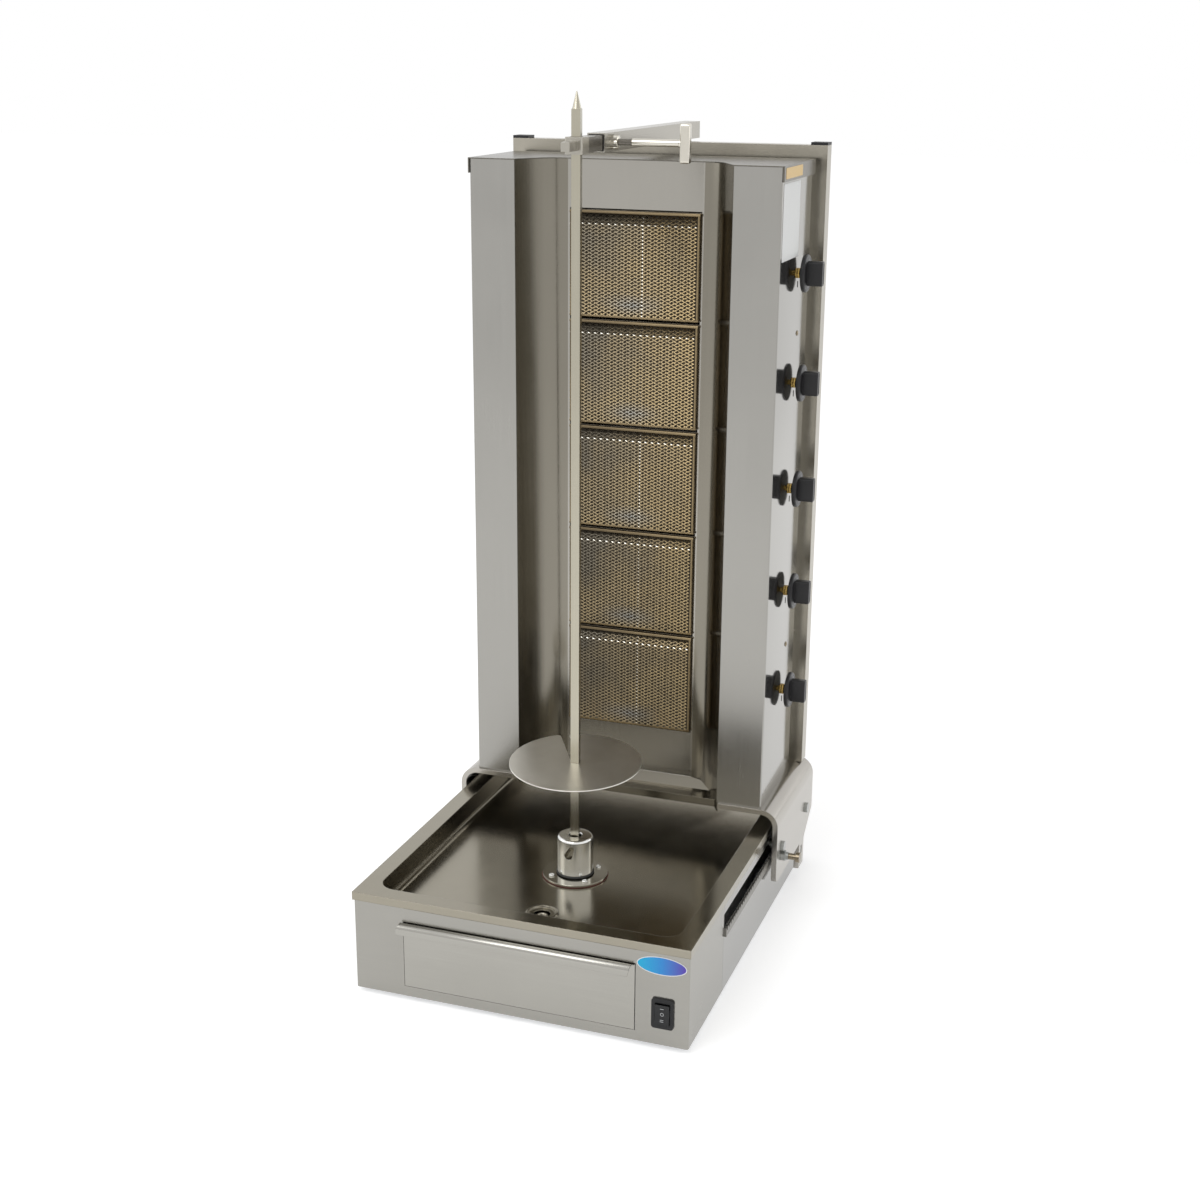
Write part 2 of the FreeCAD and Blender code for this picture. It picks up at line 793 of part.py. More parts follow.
def make_spit():
    """Square bar with a turned point, its cross pin, and the pin under the disc."""
    half = s.spit_size / 2
    low = coupling_z + 27.0
    tip_z = arm_z + s.spit_rise
    cone_z = tip_z - s.cone_length
    body = keep(new_body("spit_bar"), "spit_bar")
    add_slab(body, "Z", low, cone_z, rectangle((-half, half), (-half, half)))
    flat = flat_sketch(body, "Y", sized(0.0))
    polygon(flat, [(sized(0.0), cone_z), (half, cone_z), (sized(0.6), tip_z), (sized(0.0), tip_z)])
    point = body.newObject("PartDesign::Revolution", "spit_bar_point")
    point.Profile = flat
    point.ReferenceAxis = (flat, ["V_Axis"])
    point.Angle = 360.0
    body.Tip = point
    doc.recompute()
    pin_z = coupling_top_z - 13.0
    cut_slab(body, "Y", -half, half, rounds=[((sized(0.0), pin_z), s.pin_radius)])
    cut_slab(body, "X", -half, half, rounds=[((sized(0.0), disc_pin_z), s.disc_pin_radius)])
    put(body, 0.0, spit_y, 0.0)
    turn_with_spit(body)
    reach = s.coupling_radius - 2.0
    lock = rod("coupling_pin", s.pin_radius, "Y", (0.0, -reach, pin_z), reach + s.spit_bore - 0.5)
    pin_start = (-s.disc_pin_length / 2, 0.0, disc_pin_z)
    rest = rod("disc_pin", s.disc_pin_radius, "X", pin_start, s.disc_pin_length)
    pins = group("spit_pins", [lock, rest])
    put(pins, 0.0, spit_y, 0.0)
    turn_with_spit(pins)
    keep(pins, "spit_pins")


def make_meat_disc():
    """Loose disc on the cross pin: its slot slips over the bar, and it leans a little on the pin."""
    body = keep(new_body("meat_disc"), "meat_disc")
    low = -s.disc_gauge
    top = sized(0.0)
    add_slab(body, "Z", low, top, rounds=[((sized(0.0), sized(0.0)), s.disc_radius)])
    half = s.spit_size / 2 + s.disc_clearance
    cut_slab(body, "Z", low, top, rectangle((-half, half), (-half, half)))
    turned = math.radians(float(s.disc_slot_turn) - float(s.spit_turn))
    run = (math.cos(turned), math.sin(turned))
    side = (-run[1], run[0])
    reach = s.disc_radius + 5.0
    corners = []
    for along, across in ((sized(0.0), -1.0), (reach, -1.0), (reach, 1.0), (sized(0.0), 1.0)):
        corners.append((along * run[0] + half * across * side[0], along * run[1] + half * across * side[1]))
    cut_slab(body, "Z", low, top, corners)
    out = math.sqrt(float(s.disc_radius) ** 2 - float(half) ** 2)
    mouth = []
    for across in (-float(half), float(half)):
        mouth.append((out * run[0] + across * side[0], out * run[1] + across * side[1]))
    round_edges(body, edges_along(body, "Z", mouth), s.disc_slot_corner)
    lean = Rotation(Vector(0, 0, 1), float(s.spit_turn)) * Rotation(Vector(1, 0, 0), float(s.disc_tilt))
    put(body, 0.0, spit_y, disc_z, turn=lean)


# Grease drawer
drawer_front_z = (box_z + s.drawer_bottom, box_z + s.drawer_bottom + s.drawer_height)


def make_drawer():
    half = drawer_x
    low, high = drawer_front_z
    face = keep(new_body("drawer_front"), "drawer_front")
    lip_y = front_y - s.lip_reach
    hook = [
        (front_y, low),
        (front_y + gauge, low),
        (front_y + gauge, high),
        (lip_y, high),
        (lip_y, high - s.lip_drop),
        (lip_y + gauge, high - s.lip_drop),
        (lip_y + gauge, high - gauge),
        (front_y, high - gauge),
    ]
    add_slab(face, "X", -half, half, hook)
    round_edges(face, edges_along(face, "X", [(lip_y, high)]), s.lip_bend)
    round_edges(face, edges_along(face, "X", [(lip_y + gauge, high - gauge)]), s.lip_bend - gauge)
    pan = keep(new_body("drawer_pan"), "drawer_pan")
    wide = half - 4.0
    back = front_y + gauge + s.drawer_length
    rim = high - 16.0
    add_slab(pan, "Z", low, rim, rectangle((-wide, wide), (front_y + gauge, back)))
    inside = rectangle((-wide + gauge, wide - gauge), (front_y + gauge * 2, back - gauge))
    cut_slab(pan, "Z", low + gauge, rim, inside)
    rails = []
    for side, name in ((-1.0, "runner_left"), (1.0, "runner_right")):
        inner = side * (wide + 0.3)
        outer = side * (wide + 12.0)
        span = (outer, inner) if side < 0 else (inner, outer)
        under = side * (wide - 10.0)
        foot = (under, inner) if side > 0 else (inner, under)
        back_y = front_y + gauge + s.drawer_length
        floor = box_z + gauge
        shelf_z = low - 0.3
        along = (front_y + gauge * 2, back_y)
        upright = block(f"{name}_upright", span, along, (floor, low + s.runner_height))
        shelf = block(f"{name}_shelf", foot, along, (floor, shelf_z))
        rails.append(fuse(name, upright, shelf))
    keep(group("drawer_runners", rails), "drawer_runners")


# Rocker switch beside the drawer
def make_switch():
    middle_z = box_z + s.switch_level
    half_x = s.switch_width / 2
    half_z = s.switch_height / 2
    body = keep(new_body("switch_housing"), "switch_housing")
    x = (switch_x - half_x, switch_x + half_x)
    z = (middle_z - half_z, middle_z + half_z)
    add_slab(body, "Y", front_y - s.switch_bezel, front_y, rectangle(x, z))
    corners = [(float(a), float(b)) for a in x for b in z]
    round_edges(body, edges_along(body, "Y", corners), sized(4.0))
    inner = s.switch_bezel + 0.5
    x = (x[0] + inner, x[1] - inner)
    z = (z[0] + inner, z[1] - inner)
    add_slab(body, "Y", front_y, front_y + 22.0, rectangle(x, z))
    hole_x = s.rocker_width / 2 + 0.5
    hole_z = s.rocker_height / 2 + 1.2
    window = rectangle((switch_x - hole_x, switch_x + hole_x), (middle_z - hole_z, middle_z + hole_z))
    cut_slab(body, "Y", front_y - s.switch_bezel, front_y + 12.0, window)
    pivot = (front_y - s.switch_bezel + 6.0, middle_z)
    cut_slab(body, "X", x[0] - 1.0, x[1] + 1.0, rounds=[(pivot, s.pivot_radius + s.shaft_clearance)])
    rocker = keep(new_body("rocker"), "rocker")
    half_x = s.rocker_width / 2
    half_z = s.rocker_height / 2
    face = front_y - s.switch_bezel
    profile = [
        (face - 2.6, middle_z - half_z),
        (face - 0.4, middle_z),
        (face - 2.6, middle_z + half_z),
        (face + 3.0, middle_z + half_z - 1.5),
        (face + 10.0, middle_z + 4.0),
        (face + 10.0, middle_z - 4.0),
        (face + 3.0, middle_z - half_z + 1.5),
    ]
    add_slab(rocker, "X", switch_x - half_x, switch_x + half_x, profile)
    add_slab(rocker, "X", x[0] + 0.2, x[1] - 0.2, rounds=[(pivot, s.pivot_radius)])


# Carriage: one thick plate bent down over both sides of the base
def make_carriage():
    body = keep(new_body("carriage_plate"), "carriage_plate")
    low = box_z + s.tongue_bottom
    outer = [(-leg_outer_x, low), (-leg_outer_x, deck_z), (leg_outer_x, deck_z), (leg_outer_x, low)]
    inner = [(leg_inner_x, low), (leg_inner_x, carriage_z), (-leg_inner_x, carriage_z), (-leg_inner_x, low)]
    add_slab(body, "Y", carriage_front_y, carriage_rear_y, outer + inner)
    outside = edges_along(body, "Y", [(leg_outer_x, deck_z), (-leg_outer_x, deck_z)])
    round_edges(body, outside, s.carriage_bend)
    inside = edges_along(body, "Y", [(leg_inner_x, carriage_z), (-leg_inner_x, carriage_z)])
    round_edges(body, inside, s.carriage_bend - s.carriage_gauge)
    # Front notch between the wings, for the sill of the reflector
    notch = s.notch_clearance + wing_x + gauge * 1.1
    notch_rear = frame_y + gauge + s.notch_clearance
    cut_slab(body, "Z", carriage_z, deck_z, rectangle((-notch, notch), (carriage_front_y, notch_rear)))
    # Side outline of the legs, cut through both
    leg_z = box_z + s.leg_bottom
    tongue_y = carriage_front_y + s.tongue_inset
    tongue_front_y = tongue_y - s.tongue_length
    under = [
        (carriage_front_y, low),
        (tongue_front_y, low),
        (tongue_front_y, leg_z),
        (carriage_front_y, leg_z),
    ]
    behind = [
        (tongue_y, low),
        (carriage_rear_y, low),
        (carriage_rear_y, leg_z + 34.0),
        (tongue_y, leg_z),
    ]
    reach = leg_outer_x + 1.0
    cut_slab(body, "X", -reach, reach, under, behind)
    corners = edges_along(body, "X", [(carriage_front_y, leg_z)])
    round_edges(body, corners, s.leg_corner)
    bolt = ((carriage_front_y + s.plunger_inset, box_z + s.plunger_level), s.plunger_barrel)
    axle_spots = [((y, roller_z), sized(5.0)) for y in roller_ys]
    slot = rectangle((tongue_y - 18.0, tongue_y - 12.0), (leg_z - 22.0, leg_z - 8.0))
    cut_slab(body, "X", leg_inner_x, leg_outer_x, slot, rounds=[bolt] + axle_spots)
    cut_slab(body, "X", -leg_outer_x, -leg_inner_x, slot, rounds=axle_spots)


roller_z = slot_z + s.roller_radius + s.roller_clearance
roller_ys = (carriage_front_y + 34.0, carriage_rear_y - 44.0)


def make_rollers():
    pieces = []
    for side in (-1.0, 1.0):
        for y in roller_ys:
            inner = side_x - gauge - 4.0
            axle_span = leg_outer_x + 3.0 - inner
            start = inner if side > 0 else -(leg_outer_x + 3.0)
            axle = rod("roller_axle", sized(5.0), "X", (start, y, roller_z), axle_span)
            tread = s.carriage_gap + s.skirt_gap + gauge - 0.5 + gauge
            start = side_x - gauge if side > 0 else -(side_x - gauge + tread)
            wheel = rod("roller_wheel", s.roller_radius, "X", (start, y, roller_z), tread)
            head_start = leg_outer_x if side > 0 else -(leg_outer_x + 4.0)
            head = rod("roller_head", sized(8.0), "X", (head_start, y, roller_z), sized(4.0))
            pieces.append(fuse("slide_roller", axle, wheel, head))
    keep(group("slide_rollers", pieces), "slide_rollers")


# Index plunger
def make_plunger():
    y = carriage_front_y + s.plunger_inset
    z = box_z + s.plunger_level
    start = leg_inner_x
    length = s.carriage_gauge + s.plunger_barrel_length
    barrel = rod("plunger_barrel_outside", s.plunger_barrel, "X", (start, y, z), length)
    nut = hexagon("plunger_nut", s.plunger_barrel + 3.0, leg_outer_x, y, z, sized(6.0))
    inside = s.plunger_radius + s.shaft_clearance
    bore = rod("plunger_barrel_bore", inside, "X", (start - 1.0, y, z), length + 2.0)
    keep(cut("plunger_housing", fuse("plunger_housing_outside", barrel, nut), bore), "plunger_housing")
    tip = side_x + s.rack_gauge + 0.4
    knob_x = leg_outer_x + s.plunger_barrel_length + s.plunger_reach
    pin = rod("plunger_pin", s.plunger_radius, "X", (tip, y, z), knob_x - tip)
    knob = rod("plunger_knob", s.plunger_knob_radius, "X", (knob_x, y, z), s.plunger_knob_length)
    collar_x = leg_outer_x + s.plunger_barrel_length + 0.3
    collar = rod("plunger_collar", s.plunger_radius + 2.0, "X", (collar_x, y, z), knob_x - collar_x)
    keep(fuse("index_plunger", pin, collar, knob), "index_plunger")


def hexagon(name, radius, x, y, z, length):
    nut = doc.addObject("Part::Prism", name)
    nut.Polygon = 6
    bind(nut, "Circumradius", radius)
    bind(nut, "Height", length)
    return put(nut, x, y, z, turn=ALONG["X"])


# Burner tower
def make_wings():
    for side, name in ((-1.0, "wing_left"), (1.0, "wing_right")):
        body = keep(new_body(name), name)
        points = [
            (side * wing_x, tower_y),
            (side * tower_x, tower_y),
            (side * tower_x, tower_rear_y),
            (side * (tower_x - 16.0), tower_rear_y),
            (side * (tower_x - 16.0), tower_rear_y - gauge),
            (side * (tower_x - gauge), tower_rear_y - gauge),
            (side * (tower_x - gauge), tower_y + gauge),
            (side * wing_x, tower_y + gauge),
        ]
        add_slab(body, "Z", deck_z, tower_top_z, points)
        round_edges(body, edges_along(body, "Z", [(side * tower_x, tower_y)]), sized(2.0))
        if side > 0:
            holes = [((knob_y, level), s.spindle_radius + 2.0) for level in knob_levels]
            cut_slab(body, "X", tower_x - gauge, tower_x, rounds=holes)


knob_levels = [burner_z + s.burner_pitch * (count + 0.5) - s.knob_offset for count in range(5)]


def make_reflector():
    """Folded sheet round the burners: two flared sides, the frame with its window, and a sill."""
    body = new_body("reflector_sheet")
    flare = gauge * 1.1
    front = [
        (-wing_x, tower_y + gauge),
        (-throat_x, throat_y),
        (-frame_x, frame_y - s.frame_depth),
        (-window_x, frame_y),
    ]
    back = [
        (-window_x, frame_y + gauge),
        (-frame_x - gauge * 0.2, frame_y - s.frame_depth + gauge),
        (-throat_x - flare * 0.6, throat_y + gauge),
        (-wing_x - flare, tower_y + gauge),
    ]
    sill_z = deck_z - s.sill_drop
    lip_z = sill_z - s.sill_lip
    fold_z = deck_z + s.sill_rise
    add_slab(body, "Z", lip_z, tower_top_z, front + [(-x, y) for x, y in reversed(front)]
             + [(-x, y) for x, y in reversed(back)] + back)
    window = rectangle((-window_x, window_x), (burner_z, burners_top_z))
    below = rectangle((-frame_x, frame_x), (lip_z, fold_z))
    cut_slab(body, "Y", frame_y - s.frame_depth - gauge, frame_y + gauge, window, below)
    # The sill: down from the frame, forward over the tray, and a lip that sheds the fat
    sill = new_body("sill")
    lip_y = tower_y + s.sill_inset
    add_slab(sill, "X", -wing_x - flare, wing_x + flare, [
        (frame_y + gauge, fold_z),
        (frame_y, fold_z),
        (throat_y, sill_z),
        (lip_y, sill_z),
        (lip_y, lip_z),
        (lip_y + gauge, lip_z),
        (lip_y + gauge, sill_z - gauge),
        (throat_y + gauge * 0.6, sill_z - gauge),
        (frame_y + gauge, fold_z - gauge * 1.6),
    ])
    within = new_body("sill_space")
    inward = list(reversed(back))
    add_slab(within, "Z", lip_z, fold_z, inward + [(-x, y) for x, y in back])
    mitred = doc.addObject("Part::MultiCommon", "sill_mitred")
    mitred.Shapes = [sill, within]
    keep(fuse("reflector", body, mitred), "reflector")


def make_covers():
    body = keep(new_body("top_cover"), "top_cover")
    over = s.cover_overhang
    edge = tower_x + over
    rear = tower_rear_y + 10.0
    points = mirrored([
        (-edge, rear),
        (-edge, tower_y - over),
        (-wing_x + 1.0, tower_y - over),
        (-throat_x + 2.0, throat_y - over),
        (-frame_x + 1.0, frame_y - s.frame_depth - 1.0 - over),
    ])
    add_slab(body, "Z", tower_top_z, tower_top_z + gauge, points)
    low = tower_top_z - s.cover_flange
    gap = 0.2
    left = rectangle((-edge - gauge, -tower_x - gap), (tower_y - over, rear))
    right = rectangle((tower_x + gap, edge + gauge), (tower_y - over, rear))
    add_slab(body, "Z", low, tower_top_z + gauge, left, right)
    back = keep(new_body("rear_cover"), "rear_cover")
    half = tower_x - 16.5
    add_slab(back, "Y", tower_rear_y - gauge, tower_rear_y, rectangle((-half, half), (deck_z, tower_top_z)))
    vents = []
    for row in range(12):
        low = deck_z + 90.0 + 66.0 * row
        vents.append(rectangle((sized(-70.0), sized(70.0)), (low, low + 8.0)))
    inlet = ((manifold_x, inlet_z), s.manifold_radius + 2.0)
    cut_slab(back, "Y", tower_rear_y - gauge, tower_rear_y, *vents, rounds=[inlet])


manifold_x = tower_x - 62.0
inlet_z = deck_z + s.inlet_rise


def make_burners():
    """Five radiant burners, one above the other, each with ceramic, screen and mixing tube."""
    ceramics = []
    for count in range(5):
        low = burner_z + s.burner_pitch * count + s.burner_gap / 2
        high = low + s.burner_pitch - s.burner_gap
        number = count + 1
        half = window_x + s.burner_lap
        front = frame_y + gauge
        body = keep(new_body(f"burner_{number}"), f"burner_{number}")
        add_slab(body, "Y", front, front + s.burner_depth, rectangle((-half, half), (low, high)))
        rear = front + s.burner_depth
        round_edges(body, edges_along(body, "X", [(rear, low), (rear, high)]), sized(14.0))
        wall = s.burner_gauge
        seat = rectangle((-half + wall, half - wall), (low + wall, high - wall))
        cut_slab(body, "Y", front, rear - 16.0, seat)
        middle = (low + high) / 2 - s.knob_offset
        mixer_end = half + s.mixer_length
        spot = (knob_y, middle)
        add_slab(body, "X", half - wall, mixer_end, rounds=[(spot, s.mixer_radius)])
        cut_slab(body, "X", half - wall, mixer_end, rounds=[(spot, s.mixer_radius - 1.5)])
        tile_y = (front + 3.0, front + 3.0 + s.ceramic_gauge)
        tile = block(f"ceramic_{number}", (-half + wall, half - wall), tile_y, (low + wall, high - wall))
        ceramics.append(tile)
        make_screen(number, low, high, front)
    keep(group("ceramic_plates", ceramics), "ceramic_plates")


def make_screen(number, low, high, front):
    """A mesh screen: a shallow dished sheet with a folded edge that sits in the window."""
    body = keep(new_body(f"mesh_screen_{number}"), f"mesh_screen_{number}")
    half = window_x - 1.2
    face = frame_y - s.screen_bulge
    thick = s.screen_gauge
    inset = 9.0
    points = [
        (front, low + 0.5),
        (face + 1.5, low + 0.5),
        (face, low + inset),
        (face, high - inset),
        (face + 1.5, high - 0.5),
        (front, high - 0.5),
        (front, high - 0.5 - thick),
        (face + 2.0 + thick, high - 0.5 - thick),
        (face + thick, high - inset - thick),
        (face + thick, low + inset + thick),
        (face + 2.0 + thick, low + 0.5 + thick),
        (front, low + 0.5 + thick),
    ]
    add_slab(body, "X", -half, half, points)


def make_gas_train():
    """Upright manifold with the inlet at the back, five valves on it and their spindles and knobs."""
    low = inlet_z - s.manifold_radius - 4.0
    high = knob_levels[-1] + 30.0
    pipe = rod("manifold_pipe", s.manifold_radius, "Z", (manifold_x, knob_y, low), high - low)
    shoulder_y = tower_rear_y + 3.0
    elbow_start = (manifold_x, knob_y, inlet_z)
    elbow = rod("manifold_elbow", s.inlet_radius - 2.0, "Y", elbow_start, shoulder_y - knob_y)
    inlet = rod("manifold_inlet", s.inlet_radius, "Y", (manifold_x, shoulder_y, inlet_z), s.inlet_length)
    keep(fuse("gas_manifold", pipe, elbow, inlet), "gas_manifold")
    valves = []
    half = s.valve_width / 2
    start = manifold_x + s.manifold_radius
    panel = tower_x - gauge
    for level in knob_levels:
        across = (knob_y - half, knob_y + half)
        tube = block("valve_body", (start, panel - 4.0), across, (level - half, level + half))
        nose = rod("valve_nose", s.spindle_radius + 1.6, "X", (panel - 4.0, knob_y, level), sized(8.0))
        jet_start = window_x + s.burner_lap + s.mixer_length - 4.0
        bore = rod("valve_bore", s.spindle_radius + 0.05, "X", (panel - 18.0, knob_y, level), sized(24.0))
        seat_start = (manifold_x, knob_y, level - half - 1.0)
        seat = rod("valve_seat", s.manifold_radius + 0.05, "Z", seat_start, s.valve_width + 2.0)
        solid = cut("gas_valve", fuse("valve_outside", tube, nose), bore, seat)
        valves.append(solid)
        jet = rod("gas_jet", sized(4.0), "X", (jet_start, knob_y, level), manifold_x - jet_start)
        valves.append(cut("gas_jet_seated", jet, seat))
    keep(group("gas_valves", valves), "gas_valves")
    for number, level in enumerate(knob_levels, start=1):
        make_knob(number, level)


def make_knob(number, level):
    panel = tower_x
    base = panel + s.knob_gap
    spindle_start = panel - gauge - 16.0
    spindle_end = base + s.knob_skirt + 12.0
    length = spindle_end - spindle_start
    stem = rod(f"spindle_{number}", s.spindle_radius, "X", (spindle_start, knob_y, level), length)
    keep(stem, f"spindle_{number}")
    body = keep(new_body(f"knob_{number}"), f"knob_{number}")
    edge = s.knob_radius
    skirt = s.knob_skirt
    turn_profile(body, [
        (sized(0.0), sized(0.0)),
        (edge - 1.0, sized(0.0)),
        (edge, sized(1.0)),
        (edge, skirt * 0.5),
        (edge - 4.0, skirt),
        (sized(0.0), skirt),
    ])
    long = s.grip_length / 2
    wide = s.grip_width / 2
    top = skirt + s.grip_depth
    add_slab(body, "Z", skirt, top, rectangle((-long, long), (-wide, wide)))
    corners = [(a * float(long), b * float(wide)) for a in (-1, 1) for b in (-1, 1)]
    round_edges(body, edges_along(body, "Z", corners), sized(3.0))
    round_edges(body, edges_at(body, "Z", top), sized(1.2), "PartDesign::Chamfer", "Size")
    depth = skirt + 12.0 + s.knob_travel + 1.0
    hole = ((sized(0.0), sized(0.0)), s.spindle_radius + 0.05)
    cut_slab(body, "Z", sized(0.0), depth, rounds=[hole])
    put(body, base, knob_y, level, turn=ALONG["X"])


# Rear frame and telescopic arm
def make_rear_frame():
    tube = s.frame_tube
    wall = s.frame_wall
    rear = upright_y + tube
    pieces = []
    holes = []
    for side in (-1.0, 1.0):
        outer = side * upright_x
        inner = side * (upright_x - tube)
        span = (outer, inner) if side < 0 else (inner, outer)
        pieces.append(block("upright", span, (upright_y, rear), (deck_z, frame_top_z)))
        hollow = (span[0] + wall, span[1] - wall)
        across = (upright_y + wall, rear - wall)
        holes.append(block("upright_hollow", hollow, across, (deck_z, frame_top_z)))
    reach = upright_x - tube
    cross_z = (frame_top_z - s.cross_height, frame_top_z)
    cross = block("cross_member", (-reach, reach), (upright_y, rear), cross_z)
    pieces.append(cross)
    keep(cut("rear_frame", fuse("frame_outside", *pieces), *holes), "rear_frame")
    caps = []
    for side in (-1.0, 1.0):
        outer = side * upright_x
        inner = side * (upright_x - tube)
        span = (outer, inner) if side < 0 else (inner, outer)
        head = block("cap_head", span, (upright_y, rear), (frame_top_z, frame_top_z + s.cap_height))
        hollow = (span[0] + wall, span[1] - wall)
        plug = block("cap_plug", hollow, (upright_y + wall, rear - wall), (frame_top_z - 10.0, frame_top_z))
        caps.append(fuse("end_cap", head, plug))
    keep(group("end_caps", caps), "end_caps")


def make_arm():
    half = s.frame_tube / 2
    inner = half - s.arm_wall
    clamp_y = arm_front_y + s.clamp_inset
    clamp_z = arm_z
    along = (arm_front_y, arm_rear_y)
    outside = block("outer_arm_outside", (-half, half), along, (arm_z - half, arm_z + half))
    along = (arm_front_y - 1.0, arm_rear_y - s.arm_wall)
    inside = block("outer_arm_inside", (-inner, inner), along, (arm_z - inner, arm_z + inner))
    nut_radius = s.clamp_nut_width / math.sqrt(3.0)
    nut = hexagon("clamp_nut_outside", nut_radius, half, clamp_y, clamp_z, s.clamp_nut_length)
    length = half + s.clamp_nut_length + 1.0
    hole = rod("clamp_hole", s.clamp_radius + 0.05, "X", (0.0, clamp_y, clamp_z), length)
    keep(cut("outer_arm", fuse("outer_arm_solid", outside, nut), inside, hole), "outer_arm")
    bar = inner - s.slide_clearance
    bearing_rear = spit_y + s.bearing_length / 2
    bar_rear = arm_front_y + s.inner_arm_overlap
    solid = block("inner_arm_outside", (-bar, bar), (bearing_rear, bar_rear), (arm_z - bar, arm_z + bar))
    hollow = block("inner_arm_inside", (-bar + 2.0, bar - 2.0), (bearing_rear + 2.0, bar_rear + 1.0),
                   (arm_z - bar + 2.0, arm_z + bar - 2.0))
    keep(cut("inner_arm", solid, hollow), "inner_arm")
    make_bearing()
    make_clamp(clamp_y, clamp_z, bar)


def make_bearing():
    wide = s.bearing_width / 2
    deep = s.bearing_length / 2
    high = s.bearing_height / 2
    body = keep(new_body("spit_bearing"), "spit_bearing")
    plan = rectangle((-wide, wide), (spit_y - deep, spit_y + deep))
    add_slab(body, "Z", arm_z - high, arm_z + high, plan)
    corners = [(a * float(wide), float(spit_y) - float(deep)) for a in (-1, 1)]
    round_edges(body, edges_along(body, "Z", corners), sized(2.0))
    nose = s.nose_width / 2
    add_slab(body, "Z", arm_z - nose, arm_z + nose,
             rectangle((-nose, nose), (spit_y - deep - s.nose_length, spit_y - deep)))
    cut_slab(body, "Z", arm_z - high, arm_z + high, rounds=[((sized(0.0), spit_y), s.bearing_bore)])


def make_clamp(clamp_y, clamp_z, bar):
    start = bar + 0.3
    end = start + s.clamp_length
    thread_end = s.frame_tube / 2 + s.clamp_nut_length + 20.0
    thread = rod("clamp_thread", s.clamp_radius, "X", (start, clamp_y, clamp_z), thread_end - start)
    stem = rod("clamp_stem", s.clamp_radius - 0.8, "X", (thread_end, clamp_y, clamp_z), end - thread_end)
    long = s.handle_length / 2
    deep = s.handle_thickness / 2
    handle = new_body("clamp_handle")
    add_slab(handle, "Y", clamp_y - deep, clamp_y + deep,
             rectangle((end, end + s.handle_width), (clamp_z - long, clamp_z + long)))
    corners = [(float(end + s.handle_width * a), float(clamp_z + long * b)) for a in (0, 1) for b in (-1, 1)]
    round_edges(handle, edges_along(handle, "Y", corners), sized(4.0))
    keep(fuse("clamp_screw", thread, stem, handle), "clamp_screw")


make_front_cover()
make_side_panels()
make_index_racks()
make_rear_panel()
make_base_floor()
make_feet()
make_cable_gland()
make_drip_tray()
make_bearing_flange()
make_gearmotor()
make_spit_coupling()
make_spit()
make_meat_disc()
make_drawer()
make_switch()
make_carriage()
make_rollers()
make_plunger()
make_wings()
make_reflector()
make_covers()
make_burners()
make_gas_train()
make_rear_frame()
make_arm()
doc.recompute()

# Every object and every kept shape is tested before anything is written
for item in doc.Objects:
    if "Invalid" in item.State or "Error" in item.State:
        raise RuntimeError(f"{item.Label} failed: {item.State}")
os.makedirs("parts", exist_ok=True)
for node, item in NODES.items():
    shape = item.Shape
    if shape.isNull() or not shape.isValid():
        raise RuntimeError(f"{node} has no valid shape")
for node, item in NODES.items():
    item.Shape.exportStep(f"parts/{node}.step")
print(len(NODES), "sub-parts written")
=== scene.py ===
import math

import bmesh
import bpy
from mathutils import Matrix, Vector


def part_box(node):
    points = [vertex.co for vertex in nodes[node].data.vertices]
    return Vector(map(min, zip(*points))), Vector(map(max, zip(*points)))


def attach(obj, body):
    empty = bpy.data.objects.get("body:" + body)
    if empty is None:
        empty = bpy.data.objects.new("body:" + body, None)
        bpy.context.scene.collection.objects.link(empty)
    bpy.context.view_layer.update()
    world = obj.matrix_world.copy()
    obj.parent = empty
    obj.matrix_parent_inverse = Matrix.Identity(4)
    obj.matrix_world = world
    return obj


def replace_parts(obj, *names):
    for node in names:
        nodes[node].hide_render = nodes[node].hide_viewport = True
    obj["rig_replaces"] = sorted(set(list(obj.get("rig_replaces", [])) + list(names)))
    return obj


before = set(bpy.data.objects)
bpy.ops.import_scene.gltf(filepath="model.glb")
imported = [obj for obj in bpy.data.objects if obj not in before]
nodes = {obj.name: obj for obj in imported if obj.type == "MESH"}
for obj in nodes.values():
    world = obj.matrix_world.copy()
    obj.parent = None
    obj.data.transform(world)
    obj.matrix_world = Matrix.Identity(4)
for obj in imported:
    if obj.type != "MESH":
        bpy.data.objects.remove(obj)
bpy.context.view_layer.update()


# Camera: it stands in front of the grill and to its right, a little above the spit's point,
# and looks down on the drip tray.
camera_place = (0.8263, -2.3265, 1.2757)
camera_heading, camera_pitch, camera_roll = 19.52, 72.67, 0.36
turn = Matrix.Rotation(math.radians(camera_heading), 3, "Z")
turn = turn @ Matrix.Rotation(math.radians(camera_pitch), 3, "X")
turn = turn @ Matrix.Rotation(math.radians(camera_roll), 3, "Z")
bpy.ops.object.camera_add(location=camera_place, rotation=turn.to_euler())
camera = bpy.context.active_object
camera.name = "camera"
camera.data.sensor_width = 36.0
camera.data.lens = 53.38
bpy.context.scene.camera = camera
bpy.context.scene.view_settings.view_transform = "Standard"


